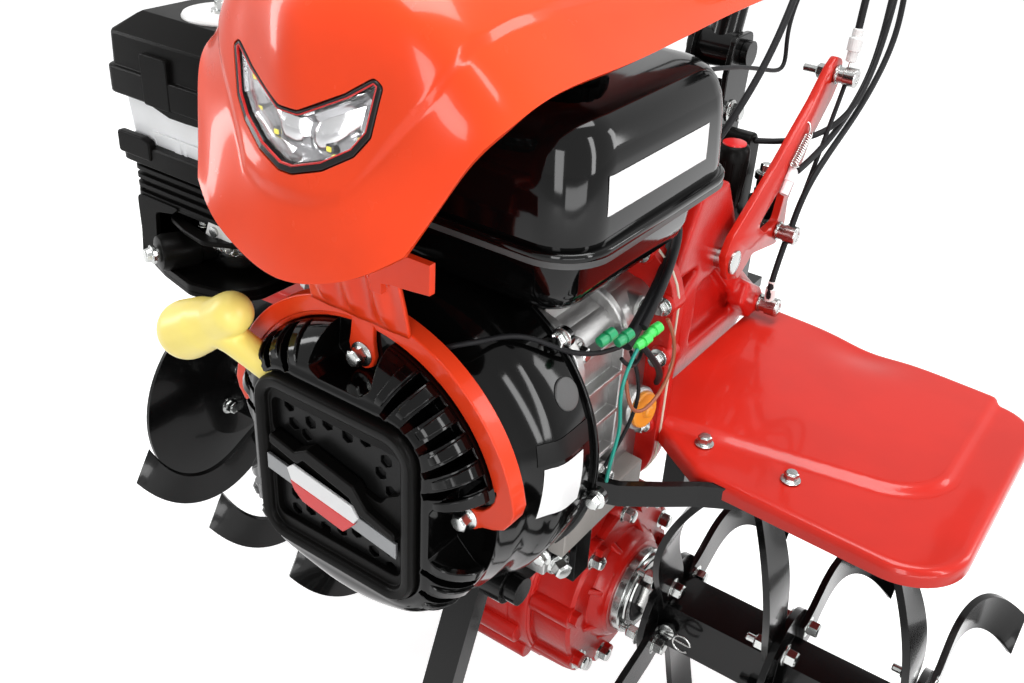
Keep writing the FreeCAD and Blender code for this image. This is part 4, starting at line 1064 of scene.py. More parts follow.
def build_hoop():
    """Bent ring with its hooks and lip, its tongue and bolts, and the plate up to the hood."""
    hook = [(127.9, 458), (125.8, 449), (120.5, 441), (112, 436.5), (103, 434), (97, 429.5), (90.5, 427),
            (84, 430.5), (81, 437), (84, 443.5), (90.5, 446.5), (97, 446), (103, 449), (108, 454),
            (111.5, 460)]
    bow = [math.radians(16 + 148 * i / 90) for i in range(91)]
    outer = [(HOOP_R * math.cos(a), CRANK_Z + HOOP_R * math.sin(a)) for a in bow]
    inner = [(HOOP_BORE_R * math.cos(a), CRANK_Z + HOOP_BORE_R * math.sin(a)) for a in bow]
    outline = hook[::-1] + outer + [(-x, z) for x, z in hook] + inner[::-1]
    ring = prism("hoop_ring", outline, HOOP_Y0 - 2.4, HOOP_Y1, "hoop", bevel=1.3, segments=3)
    section = [(FAN_R - 2, HOOP_Y1), (FAN_R - 2, HOOP_Y0 + 0.4), (FAN_R - 1.2, HOOP_Y0 - 0.4),
               (FAN_R + 4, HOOP_Y0 - 0.6), (FAN_R + 4, HOOP_Y1)]
    lip = loops_solid("hoop_lip", [[polar(a, r, y) for r, y in section] for a in bow], "hoop", angle=30)
    lug = [(-11, 562), (-9, 552), (-10.5, 540), (-12, 533), (-10, 524), (-5, 518), (3, 517), (9, 521),
           (11.5, 529), (10, 540), (10, 552), (14, 562)]
    tongue = prism("hoop_tongue", lug, HOOP_Y0 - 2.3, HOOP_Y0 + 1.8, "hoop", bevel=1.2, segments=3)
    for x, z in ((90.5, 437), (-90.5, 437), (0, 528)):
        bolt("hoop_bolt_%d" % x, (x, HOOP_Y0 - 2.2, z), (0, -1, 0), 11.5, height=0.75)
    # folded plate up to the hood, with three pressed ribs
    low_z, top_z = CRANK_Z + HOOP_R - 8, 602.0
    rows = []
    for j in range(13):
        v = j / 12
        z = low_z + (top_z - low_z) * v
        row = []
        for i in range(85):
            x = -42 + 84 * i / 84
            wave = sum(math.exp(-((x - c) / 6.0) ** 2) for c in (-25, 0, 25))
            y = HOOP_Y0 - 2 - 11 * v ** 1.2 - 5.5 * wave * smooth(min(v / 0.35, 1) if v < 0.9 else 1)
            row.append(at(x, y, z))
        rows.append(row)
    plate = thickened(sheet_of("hoop_plate", rows, "hoop"), 3.0, offset=1)
    for piece in (ring, lip, tongue, plate):
        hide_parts("guard_hoop")


def copy_of(node, name):
    """A new piece with a drawn node's mesh, to be worked on."""
    drawn = NODES[node]
    piece = placed(name, drawn.data.copy())
    piece.matrix_world = drawn.matrix_world
    return piece


def build_hood_bracket():
    """The drawn carrier of the hood with the lower edge of its side tab cut to a slant."""
    carrier = copy_of("hood_bracket", "hood_carrier")
    tidy_normals(carrier)
    cut_with(carrier, cutter_of([prism_part([(39, 585), (92, 585), (92, 610), (39, 604)], -306, -262)]))
    shade(carrier, 30)
    bevelled(carrier, 0.6, 2, 40)
    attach(carrier, "machine")
    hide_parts("hood_bracket")


def build_handle():
    """Moulded T handle of the starter cord: knuckled grip and neck in one skin."""
    lobes = [(-140, -294, 506, 22), (-124, -294, 516, 20), (-106, -294, 527, 15.5), (-92, -294, 537, 15.5)]
    neck = [(-114, -293, 520, 14), (-96, -290, 513, 11.5), (-76, -286, 503, 11), (-58, -281, 493, 12)]
    parts = []
    for chain in (lobes, neck):
        for (xa, ya, za, ra), (xb, yb, zb, rb) in zip(chain, chain[1:]):
            span = math.dist((xa, ya, za), (xb, yb, zb))
            way = (xb - xa, yb - ya, zb - za)
            quarter = [math.radians(t) for t in range(0, 91, 15)]
            profile = [(-ra * math.cos(t), ra * math.sin(t)) for t in quarter]
            profile += [(span + rb * math.sin(t), rb * math.cos(t)) for t in quarter]
            parts.append(lathe("lobe", (xa, ya, za), way, profile, "yellow", segments=32))
    grip = joined("pull_grip", parts)
    one_skin(grip, 1.5, 14)
    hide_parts("pull_handle")
    lathe("pull_cord_guide", (-57, -281, 492), (0.86, 0.28, -0.42),
          [(-3, 9), (0, 12), (2, 13), (5, 12.6), (9, 9)], "satin_black")


# ---------------------------------------------------------------- air cleaner, intake tray, carburettor
def box_loops(x0, x1, y0, y1, r, levels, steps=6):
    """Rounded-rectangle loops stacked in height: levels are (z, inset)."""
    loops = []
    for z, i in levels:
        outline = rounded_loop(x0 + i, x1 - i, y0 + i, y1 - i, max(1.5, r - i * 0.4), steps)
        loops.append([at(x, y, z) for x, y in outline])
    return loops


def build_air_cleaner():
    """Lid with its cap, nut, latch and skirt; bowl with its ribs; finned base with its catch."""
    x0, x1, y0, y1, z0, _ = mm_box("air_cleaner_lid")
    top = z0 + 58.0
    lid = loops_solid("cleaner_lid_body", box_loops(x0, x1, y0, y1, 9, [
        (z0, 3), (z0, 0.8), (z0 + 1, 0), (z0 + 19, 0), (z0 + 20, 0.8), (z0 + 20.4, 2.6), (z0 + 21, 3),
        (z0 + 43, 3.6), (z0 + 45, 4.4), (top - 2, 19), (top, 22)]), "satin_black", angle=20)
    bevelled(lid, 0.8, 2, 20)
    latch = fillet(moved([(42, -1), (70, -1), (70, 36), (42, 36)], x0, z0), 3)
    panel = prism("cleaner_latch", latch, y0 - 0.5, y0 + 6, "satin_black", bevel=0.9)
    stud_x, stud_y = (x0 + x1) / 2 + 8, (y0 + y1) / 2 - 14
    cap = lathe("cleaner_cap", (stud_x, stud_y, top), (0, 0, 1),
                [(-2, 30), (1, 30), (2.6, 29), (3, 26), (3, 1)], "white_plastic")
    nut = lathe("cleaner_nut", (stud_x, stud_y, top + 3), (0, 0, 1),
                [(0, 9), (2, 9), (2.4, 6.5), (8, 6.5), (9, 5), (9, 1)], "zinc")
    width = x1 - x0
    skirt = moved([(30, 4), (width - 1, 4), (width - 1, -4), (84, -6), (66, -6), (50, -2)], x0, z0)
    scallop = prism("cleaner_skirt", fillet(skirt, 5), y0 + 1.2, y0 + 5, "satin_black", bevel=1.0)
    for piece in (lid, panel, cap, nut):
        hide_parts("air_cleaner_lid")

    x0, x1, y0, y1, z0, z1 = mm_box("air_cleaner_bowl")
    levels = [(z0 - 1, 3), (z0, 2.6), (z0 + 6, 2), (z1 - 4, 0), (z1 + 1, 0)]
    bowl = loops_solid("cleaner_bowl", box_loops(x0, x1, y0, y1, 10, levels), "milky", angle=40)
    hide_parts("air_cleaner_bowl")
    pillars = []
    for dx, w in ((26, 5), (52, 7), (62, 3), (90, 9)):
        pillar = rounded_loop(x0 + dx, x0 + dx + w, z0, z1, 1.5, 2)
        pillars.append(prism("pillar", pillar, y0 + 1.5, y0 + 5, "milky"))
    level_line = rounded_loop(x0 + 30, x0 + 84, z0 + 12, z0 + 14, 0.8, 2)
    pillars.append(prism("level_line", level_line, y0 - 0.5, y0 + 3, "milky"))
    ribs = joined("cleaner_bowl_ribs", pillars)

    x0, x1, y0, y1, z0, z1 = mm_box("air_cleaner_base")
    levels = [(z0 - 18, 9)]
    for k in range(4):
        z = z0 - 14 + 7 * k
        levels += [(z, 9), (z + 0.9, 5.6), (z + 3.8, 5.6), (z + 4.7, 9)]
    levels += [(z1 - 16, 7), (z1 - 14, 1.2), (z1 - 13, 0), (z1 + 1, 0), (z1 + 2.5, 1.4), (z1 + 2.5, 4)]
    base = loops_solid("cleaner_base_body", box_loops(x0, x1, y0, y1, 10, levels), "satin_black", angle=25)
    tab = fillet(moved([(2, -8), (38, -8), (38, 7), (30, 9), (2, 9)], x0, z1), 3)
    catch = prism("cleaner_catch", tab, y0 - 1.5, y0 + 5, "satin_black", bevel=1.5, segments=3)
    for piece in (base, catch):
        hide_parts("air_cleaner_base")


def build_intake_tray():
    """Moulded control housing under the air cleaner: walls, curved floor with a rim, and a shelf."""
    x0, x1, y0, y1, z0, z1 = mm_box("control_housing")
    width, depth, height = x1 - x0, y1 - y0, z1 - z0
    wall = moved([(2, 4), (10, 0), (depth - 6, 0), (depth, 6), (depth, height), (8, height)], y0, z0)
    side = prism("tray_side", fillet(wall, 6), x0, x0 + 4, "satin_black", "x", bevel=1.2, segments=3,
                 edge_angle=35)
    cheek = moved([(2, 4), (2, height - 12), (50, height - 12), (42, height - 18), (22, height - 22),
                   (20, 26), (26, 8)],
                  x0, z0)
    front = prism("tray_front", fillet(cheek, 6), y0 + 3, y0 + 7, "satin_black", bevel=1.2, segments=3)
    floor_line = moved([(0, 6), (36, -6), (74, -14), (104, -6), (width + 8, 16), (width + 10, depth),
                        (0, depth)], x0, y0)
    floor_line = fillet(floor_line, 16)
    floor = prism("tray_floor", floor_line, z0 - 1, z0 + 4, "satin_black", "z", bevel=1.4, segments=3,
                  edge_angle=35)
    lip_line = inset_loop(floor_line, 3.5)
    lip = ((floor_line, z0 + 4), (floor_line, z0 + 9), (lip_line, z0 + 9), (lip_line, z0 + 4))
    rim = loops_solid("tray_rim", [[at(x, y, z) for x, y in loop] for loop, z in lip], "satin_black",
                      cap=(False, False), angle=30)
    shelf_line = moved([(30, 8), (60, -2), (84, -6), (width, 8), (width, depth), (30, depth)], x0, y0)
    shelf = prism("tray_shelf", fillet(shelf_line, 12), z0 + 41, z0 + 45, "satin_black", "z")
    opening = moved([(42, 12), (84, 4), (width - 6, 14), (width - 6, depth - 20), (42, depth - 20)], x0, y0)
    cut_with(shelf, cutter_of([prism_part(fillet(opening, 10), z0 + 39, z0 + 47, "z")]))
    shade(shelf, 30)
    bevelled(shelf, 1.2, 3)
    wall = fillet([(x0 + 2, z0 + 2), (x1, z0 + 2), (x1, z1), (x0 + 2, z1)], 5)
    back = prism("tray_back", wall, y1 - 5, y1, "satin_black", bevel=1)
    for piece in (side, front, floor, rim, shelf, back):
        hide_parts("control_housing")
    knob_way = (-0.35, -0.93, 0.05)
    knob = lathe("choke_knob", (x0 + 48, y0 + 18, z0 + 20), knob_way,
                 [(-12, 11), (0, 11), (0.6, 13), (3, 14), (26, 14.5), (30, 13), (31, 9), (31, 0.5)],
                 "satin_black")
    lathe("choke_screw", (x0 + 37, y0 - 12, z0 + 21.5), knob_way,
          [(-3, 5), (1, 5), (1.4, 7.5), (4, 7.5), (4.6, 6), (8, 5.2), (9, 4.4), (9, 0.3)], "zinc",
          segments=12, angle=20)


def build_carburettor():
    """Bowl, body, throttle lever with its spring, and the choke's rod, inside the tray."""
    x, y = -181.0, -205.0
    turned = [(512, 6), (513, 15), (516, 19), (520, 20.5), (531, 20.5), (532, 25), (536, 25.5), (537, 21),
              (541, 20), (542, 23.5), (546, 24), (547, 17), (556, 16), (557, 13), (564, 13), (564, 1)]
    bowl = lathe("carb_bowl", (x, y, 0), (0, 0, 1), turned, "zinc", segments=40, angle=25)
    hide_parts("carburettor")
    levels = [(552, 1), (553, 0), (572, 0), (573, 1)]
    body = loops_solid("carb_body", box_loops(x - 22, x + 26, y - 12, -114, 5, levels), "aluminium",
                       angle=30)
    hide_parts("carburettor")
    lever = moved([(-4, 541), (26, 543), (30, 553), (20, 566), (6, 562), (2, 552)], x, 0)
    prism("throttle_lever", fillet(lever, 4), y - 34, y - 24, "white_plastic", bevel=1.2)
    lathe("throttle_pin", (x + 12, y - 36, 554), (0, 1, 0), [(0, 4), (16, 4)], "zinc", segments=20)
    coil = []
    for k in range(64):
        t = 2 * math.pi * k / 8
        coil.append((x - 26 + 52 * k / 63, y - 27 + 3 * math.cos(t), 538 + 3 * math.sin(t)))
    cable("throttle_spring", coil, 0.5, "zinc")
    bolt("carb_screw_a", (x - 16, y - 20, 546), (0, 0, 1), 7)
    bolt("carb_screw_b", (x + 20, y - 16, 548), (0, 0, 1), 7)
    rod = [(x - 40, y - 22, 530), (x - 10, y - 30, 532), (x + 10, y - 30, 540), (x + 14, y - 28, 556)]
    cable("choke_rod", rod, 1.3, "zinc")


# ---------------------------------------------------------------- engine side, gear case, frame hardware
AXLE_Z = 180.0


def build_crankcase():
    """Bare castings that show between the fan cover and the gear housing."""
    flange = rounded_loop(-108, 108, 334, 540, 44, 8)
    pieces = []
    for y0, y1, inset in ((-163, -154, 0), (-154, -96, 12), (-96, -88, 3), (-88, -36, 14)):
        outline = inset_loop(flange, inset) if inset else flange
        pieces.append(prism("crankcase", outline, y0, y1, "aluminium", bevel=1.5))
    for k in range(5):
        z = 372 + 34 * k
        rib = [(92, z - 2), (105, z - 2), (105, z + 2), (92, z + 2)]
        pieces.append(prism("crankcase_rib", rib, -158, -92, "aluminium", bevel=0.8))
    case = joined("crankcase_casting", [applied(p) for p in pieces])
    for k, (x, y, z) in enumerate(((97, -150, 514), (104, -106, 384), (98, -60, 512))):
        lathe("crankcase_boss_%d" % k, (x - 14, y, z), (1, 0, 0), [(0, 10), (12, 10), (14, 8.5), (14, 1)],
              "aluminium", segments=24)
        bolt("crankcase_bolt_%d" % k, (x, y, z), (1, 0, 0), 10, height=0.7)
    foot = fillet([(84, 343), (110, 343), (112, 346), (112, 370), (84, 372)], 2)
    rail = prism("crankcase_foot", foot, -168, -52, "cast_grey", bevel=1.0)
    lathe("oil_filler", (82, -62, 424), (0.98, -0.14, 0.14),
          [(0, 17), (22, 15), (23, 18), (29, 18), (31, 16), (31, 1)], "aluminium", segments=32)
    lathe("oil_cap", (111, -66, 428), (0.98, -0.14, 0.14),
          [(0, 13), (1, 15), (4, 15), (5, 13.5), (5.4, 6), (9, 5), (10, 3), (10, 0.5)], "cap_orange",
          segments=24, angle=25)


def build_gear_housing():
    """The drawn housing with its edges rounded like a sand casting, and its bolted joint to the engine."""
    casting = copy_of("gear_housing", "gear_housing_casting")
    one_skin(casting, 2.6, 12)
    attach(casting, "machine")
    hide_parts("gear_housing")
    outline = rounded_loop(-86, 114, 322, 556, 52, 8)
    for name, grow, y0, y1, mat in (("joint_flange_front", 0, -38, -31, "cast_red"),
                                    ("joint_gasket", 1.0, -31, -29, "gasket"),
                                    ("joint_flange_rear", 0.4, -29, -21, "cast_red")):
        plate = prism(name, inset_loop(outline, -grow) if grow else outline, y0, y1, mat, bevel=0.7)
    for k, (x, z) in enumerate(((84, 546), (108, 508), (110, 462), (104, 396))):
        lathe("joint_pad_%d" % k, (x - 2, -38, z), (0, 1, 0), [(-3, 8), (-1, 9.5), (16, 9.5), (18, 8)],
              "cast_red", segments=24)
        bolt("joint_bolt_%d" % k, (x - 2, -41, z), (0, -1, 0), 10, height=0.7)


def gear_bolts(side):
    """Flanged bolts of the gear case's side, on pads of its flange."""
    names = "left" if side > 0 else "right"
    for k, (y, z) in enumerate(((-3, 263), (46, 246), (-52, 240), (-42, 146), (-60, 118), (-18, 100),
                                (36, 104), (66, 140), (72, 200))):
        r = math.hypot(y, z - AXLE_Z)
        grow = 84 / r
        y, z = y * grow, AXLE_Z + (z - AXLE_Z) * grow
        lathe("gear_pad_%s_%d" % (names, k), (side * 36, y, z), (side, 0, 0),
              [(0, 14), (34, 13), (41, 12), (43, 11), (43, 1)], "cast_red", segments=24)
        bolt("gear_bolt_%s_%d" % (names, k), (side * 79, y, z), (side, 0, 0), 12.5, height=0.72)


def build_gear_case():
    """The round drum with its radial ribs, axle rings and seals, and the lugs of its parting line."""
    half = [(0, 97), (18, 97), (18.6, 96), (19.2, 97), (34, 97), (38, 95), (39, 90), (39, 88), (44, 84),
            (62, 82), (68, 76), (74, 62), (78, 58), (88, 55), (92, 52), (95, 46), (95.8, 42), (95.8, 20)]
    for side, name in ((1, "left"), (-1, "right")):
        shell = lathe("gear_drum_" + name, (0, 0, AXLE_Z), (side, 0, 0), half, "cast_red", segments=96,
                      angle=28, cap=(False, True))
        for k in range(8):
            a = math.radians(20 + 45 * k)
            verts = []
            out = Vector((0, math.cos(a), math.sin(a)))
            across = Vector((0, -math.sin(a), math.cos(a)))
            for x, r in ((40, 84), (70, 74), (90, 54), (90, 44), (40, 44)):
                for s in (-3, 3):
                    verts.append(at(side * x, 0, AXLE_Z) + (out * r + across * s) * MM)
            faces = [(0, 1, 3, 2), (2, 3, 5, 4), (4, 5, 7, 6), (6, 7, 9, 8), (8, 9, 1, 0), (0, 2, 4, 6, 8),
                     (1, 9, 7, 5, 3)]
            rib = make("gear_rib_%s_%d" % (name, k), verts, faces, "cast_red", angle=30)
            bevelled(rib, 2.0, 3)
        gear_bolts(side)
        ring = lathe("axle_ring_" + name, (side * 95.5, 0, AXLE_Z), (side, 0, 0),
                     [(0, 42), (1, 43), (9, 43), (10.5, 41.5), (11, 37), (11.5, 36.6), (13, 36.4), (14, 35),
                      (14, 29), (11, 28), (11, 18)], "zinc", segments=64, angle=25)
        lathe("axle_seal_" + name, (side * 104, 0, AXLE_Z), (side, 0, 0),
              [(0, 28), (5, 28), (5.4, 25), (4, 22), (4, 18)], "rubber", segments=48, angle=25)
        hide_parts("axle_cover_" + name)
    # lugs along the rim, at the parting line of the case halves
    for k in range(7):
        a = math.radians(196 + 24 * k)
        lug = lathe("gear_lug_%d" % k, (-30, 97 * math.cos(a), AXLE_Z + 97 * math.sin(a)), (1, 0, 0),
                    [(0, 9), (1, 10.5), (60, 10.5), (61, 9)], "cast_red", segments=20)


def build_mount_parts():
    """The engine's foot rails with their bolts, and the oil drain."""
    for side in (1, -1):
        bar = fillet([(side * 60, 316), (side * 96, 316), (side * 96, 330), (side * 86, 336),
                      (side * 60, 336)], 3)
        rail = prism("engine_foot_%d" % (side > 0), bar, -168, -56, "aluminium", bevel=1.2)
        for y in (-146, -72):
            bolt("foot_bolt_%d_%d" % (side > 0, -y), (side * 88, y, 334), (side * 0.3, 0, 0.95), 14,
                 height=0.6)
    lathe("drain_boss", (92, -150, 322), (0.9, -0.42, -0.1), [(-14, 12), (6, 12), (8, 10.5), (8, 1)],
          "satin_black", segments=28)
    bolt("drain_bolt", (99, -153.5, 321), (0.9, -0.42, -0.1), 13, height=0.7)


# ---------------------------------------------------------------- levers, handlebar bracket, cables, wires
LEVER_X = 92.0


def loose_cable(name, points, r):
    """Cable from the machine up to the handlebar, across the handlebar's hinge, made into one fixed mesh.
    """
    obj = cable(name, points, r, "rubber")
    mesh = bpy.data.meshes.new_from_object(obj.evaluated_get(bpy.context.evaluated_depsgraph_get()))
    world = obj.matrix_world.copy()
    bpy.data.objects.remove(obj)
    piece = placed(name, mesh)
    piece.matrix_world = world
    mesh.materials.clear()
    mesh.materials.append(MAT["rubber"])
    shade(piece)
    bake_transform(piece)


def build_clutch_lever():
    """Pressed lever with its window, pivot, barrels and cross stud, and the linkage on its barrels."""
    outline = fillet([(86, 498), (96, 514), (165, 556), (234, 604), (262, 629), (276, 636), (293, 630),
                      (298, 612), (284, 594), (246, 562), (228, 530), (216, 512), (220, 486), (206, 470),
                      (150, 480), (124, 464), (100, 472)], 10)
    lever = prism("clutch_plate", outline, LEVER_X, LEVER_X + 7, "fender", "x", bevel=1.0)
    window = fillet([(150, 506), (186, 530), (204, 520), (198, 496), (170, 494)], 8)
    cut_with(applied(lever), cutter_of([prism_part(window, LEVER_X - 2, LEVER_X + 9, "x")]))
    shade(lever, 30)
    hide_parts("clutch_lever")
    lathe("lever_pivot", (LEVER_X - 16, 106, 488), (1, 0, 0),
          [(0, 9), (22, 9), (22.6, 11), (25, 11), (25.6, 9), (26, 3)], "zinc", segments=32)
    for k, (y, z) in enumerate(((279, 619), (200, 486), (188, 414))):
        lathe("lever_barrel_%d" % k, (LEVER_X + 7, y, z), (1, 0, 0),
              [(0, 8), (1.5, 9.2), (3, 9.2), (3.6, 7.6), (9, 7.6), (9.6, 9), (20, 9), (21, 8), (21, 5),
               (20.4, 4.6), (20.4, 0.5)], "steel", segments=32, angle=25)
        bolt("lever_barrel_nut_%d" % k, (LEVER_X - 0.5, y, z), (-1, 0, 0), 12, height=0.7)
    cable("lever_cross_stud", [(LEVER_X - 24, 279, 619), (LEVER_X - 8, 279, 619)], 3.4, "zinc")
    # cable end, adjuster and return springs on the barrels
    cable("inner_wire_a", [(110, 279, 622), (110, 281, 634), (110, 284, 650)], 1.3, "steel")
    lathe("adjuster_a", (110, 281, 632), (0.0, 0.12, 0.99),
          [(0, 3), (1, 5), (10, 5), (10.5, 6.6), (22, 6.6), (23, 5), (30, 5), (31, 3.5)], "white_plastic",
          segments=16, angle=20)
    cable("inner_wire_b", [(110, 279, 616), (110, 270, 590), (110, 248, 552), (110, 216, 500)], 1.1,
          "steel")
    cable("return_rod", [(110, 279, 612), (110, 268, 592), (110, 240, 544), (110, 208, 492)], 2.2, "rubber")
    turns = []
    for k in range(100):
        t = 2 * math.pi * k / 7
        s = k / 99
        turns.append((104 + 3.6 * math.cos(t), 198 + 25 * s + 2 * math.sin(t),
                      553 + 22 * s + 3 * math.sin(t)))
    cable("return_spring", turns, 0.8, "steel")
    lathe("spring_tube", (104, 187, 528), (0, 0.62, 0.78), [(0, 4), (12, 4.2), (13, 5), (28, 5), (29, 3.6)],
          "milky", segments=20)
    cable("spring_hook", [(104, 222, 574), (104, 228, 582), (100, 232, 586), (97, 228, 584)], 0.9, "steel")
    cable("low_link", [(110, 202, 482), (110, 192, 462), (110, 180, 440), (110, 184, 424)], 3.0, "rubber")
    lathe("low_adjuster", (110, 187, 418), (0, -0.1, 0.99), [(0, 5), (16, 5), (17, 3.4), (24, 3.4)],
          "white_plastic", segments=16)


def build_shift_lever():
    """Ribbed boot, fluted knob with its inset, and the bolted cover under them."""
    x, y = 60, 160
    boot = [(474, 18), (476, 22), (480, 23), (484, 21), (486, 18), (490, 20.5), (494, 18), (496, 15.5),
            (500, 18), (504, 15), (508, 12), (516, 11), (517, 6)]
    gaiter = lathe("shift_boot", (x, y, 0), (0, 0, 1), boot, "rubber", segments=40, angle=60)
    knob = [(512, 8), (514, 12), (520, 13), (540, 14.6), (560, 15.6), (568, 15), (572, 13), (573.5, 10),
            (573.5, 0.5)]
    grip = lathe("shift_knob", (x, y, 0), (0, 0, 1), knob, "satin_black", segments=40, angle=50)
    for k in range(12):
        a = 2 * math.pi * k / 12
        flute = [(x + r * math.cos(a), y + r * math.sin(a), z) for r, z in ((12.4, 520), (14.8, 560))]
        cable("flute_%d" % k, flute, 1.4, "satin_black")
    inset = lathe("shift_inset", (x, y, 573), (0, 0, 1), [(0, 11), (1.4, 10.6), (1.8, 9), (1.8, 0.5)],
                  "badge_red", segments=32)
    for piece in (gaiter, grip, inset):
        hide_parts("shift_lever")
    cover = fillet([(28, 128), (84, 128), (88, 150), (88, 186), (28, 186)], 8)
    prism("shift_cover", cover, 468, 475, "cast_red", "z", bevel=1.4)
    for x, y in ((36, 136), (78, 136), (36, 178), (78, 178)):
        bolt("shift_screw_%d_%d" % (x, y), (x, y, 475), (0, 0, 1), 9, height=0.6)


def build_bracket():
    """Cheeks, foot and leaning front plate of the handlebar bracket, with its nuts and bolts."""
    x0, x1, y0, y1, z0, z1 = mm_box("handlebar_bracket")
    mid = (y0 + y1) / 2
    outline = fillet([(mid - 22, z0), (mid + 22, z0), (mid + 28, z1 - 30), (mid + 24, z1), (mid - 14, z1),
                      (mid - 22, z1 - 34)], 9)
    for side in (1, -1):
        cheek = prism("bracket_cheek_%d" % (side > 0), outline, side * (x1 - 6), side * x1, "frame_black",
                      "x", bevel=1.2)
        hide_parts("handlebar_bracket")
        bolt("bracket_nut_%d" % (side > 0), (side * x1, mid - 4, z0 + 34), (side, 0, 0), 14, height=0.7)
    foot = fillet([(x0, y0 + 2), (x1, y0 + 2), (x1, y1 - 2), (x0, y1 - 2)], 6)
    base = prism("bracket_base", foot, z0, z0 + 8, "frame_black", "z", bevel=1.0)
    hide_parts("handlebar_bracket")
    for side in (1, -1):
        bolt("bracket_bolt_%d" % (side > 0), (side * 12, y0 + 8, z0 + 30), (0, -1, 0), 13, height=0.8)
    patch = fillet([(x0 + 5, z0 + 6), (x1 - 5, z0 + 6), (x1 - 5, z0 + 66), (x0 + 5, z0 + 66)], 5)
    leaning = [[at(x, y + 0.08 * (z - z0), z) for x, z in patch] for y in (y0 + 6, y0 + 9)]
    bevelled(loops_solid("bracket_front", leaning, "frame_black", angle=30), 0.8)


def along_handle(k):
    """Way of the k-th cable of the bundle under the left handlebar tube, up to the clamp at the grip."""
    side = 7 * (k % 3 - 1)
    drop = 18 + 6 * (k // 3)
    return [(150 + side, 376, 922 - drop), (210 + side, 441, 938 - drop), (270 + side, 510, 954 - drop),
            (270 + side, 650, 971 - drop), (270 + side, 800, 989 - drop)]


def build_cables():
    """Six cables up to the left grip, with their clamp and ties."""
    ways = {
        "clutch_cable_a": (3.6, [(110, 284, 655), (110, 286, 690), (108, 300, 750), (122, 340, 840)]),
        "clutch_cable_b": (3.0, [(108, 200, 548), (112, 240, 556), (114, 300, 578), (114, 352, 620),
                                 (108, 372, 690), (112, 374, 770), (130, 366, 850)]),
        "clutch_cable_c": (3.0, [(112, 201, 488), (114, 206, 520), (116, 236, 546), (117, 290, 568),
                                 (117, 344, 594), (116, 398, 640), (108, 404, 700), (112, 396, 770),
                                 (134, 376, 850)]),
        "throttle_cable": (3.0, [(58, 20, 520), (66, 40, 560), (80, 68, 600), (88, 110, 640),
                                 (92, 150, 690), (84, 210, 760), (100, 280, 830), (126, 340, 880)]),
        "brake_wire": (2.0, [(34, 30, 556), (34, 28, 600), (38, 34, 640), (48, 52, 655), (60, 84, 657),
                             (60, 134, 648), (60, 189, 635), (60, 240, 620), (60, 250, 630), (60, 236, 662),
                             (60, 260, 700), (66, 310, 780), (100, 350, 850)]),
        "knob_cable": (2.8, [(52, 212, 560), (90, 226, 562), (116, 262, 572), (120, 320, 600),
                             (112, 376, 670), (104, 396, 750), (128, 384, 850)]),
    }
    for k, (name, (r, way)) in enumerate(ways.items()):
        loose_cable(name, way + along_handle(k), r)
    run = (0, 320, 38)
    for name, y, length in (("cable_clamp", 800, 26), ("cable_tie_rear", 650, 8),
                            ("cable_tie_front", 530, 8)):
        z = 954 + 38 * (y - 506) / 320
        ring = [(-length, 18), (-length, 24), (-length + 1.5, 25.5), (-1.5, 25.5), (0, 24), (0, 18),
                (-length, 18)]
        lathe(name, (270, y, z - 7), run, ring, "satin_black", "handlebar_unit", segments=36,
              cap=(False, False))


def build_cable_block():
    """Black cap behind the shift lever, where a control cable leaves the gear housing."""
    cap = fillet([(196, 470), (226, 470), (226, 556), (216, 568), (202, 568), (196, 552)], 7)
    cap = prism("cable_cap", cap, 22, 58, "satin_black", "x", bevel=2.4)
    foot = fillet([(16, 186), (96, 186), (96, 232), (16, 232)], 8)
    foot = prism("cable_cap_foot", foot, 474, 484, "satin_black", "z", bevel=1.4)
    for k, (x, y) in enumerate(((76, 200), (84, 222), (70, 222))):
        lathe("cable_cap_post_%d" % k, (x, y, 480), (0, 0, 1),
              [(0, 7), (26 + 8 * k, 7), (28 + 8 * k, 9.5), (34 + 8 * k, 9.5), (35 + 8 * k, 6)],
              "zinc" if k != 1 else "satin_black", segments=28, angle=30)
        bolt("cable_cap_nut_%d" % k, (x, y, 514 + 8 * k), (0, 0, 1), 10, height=0.7)


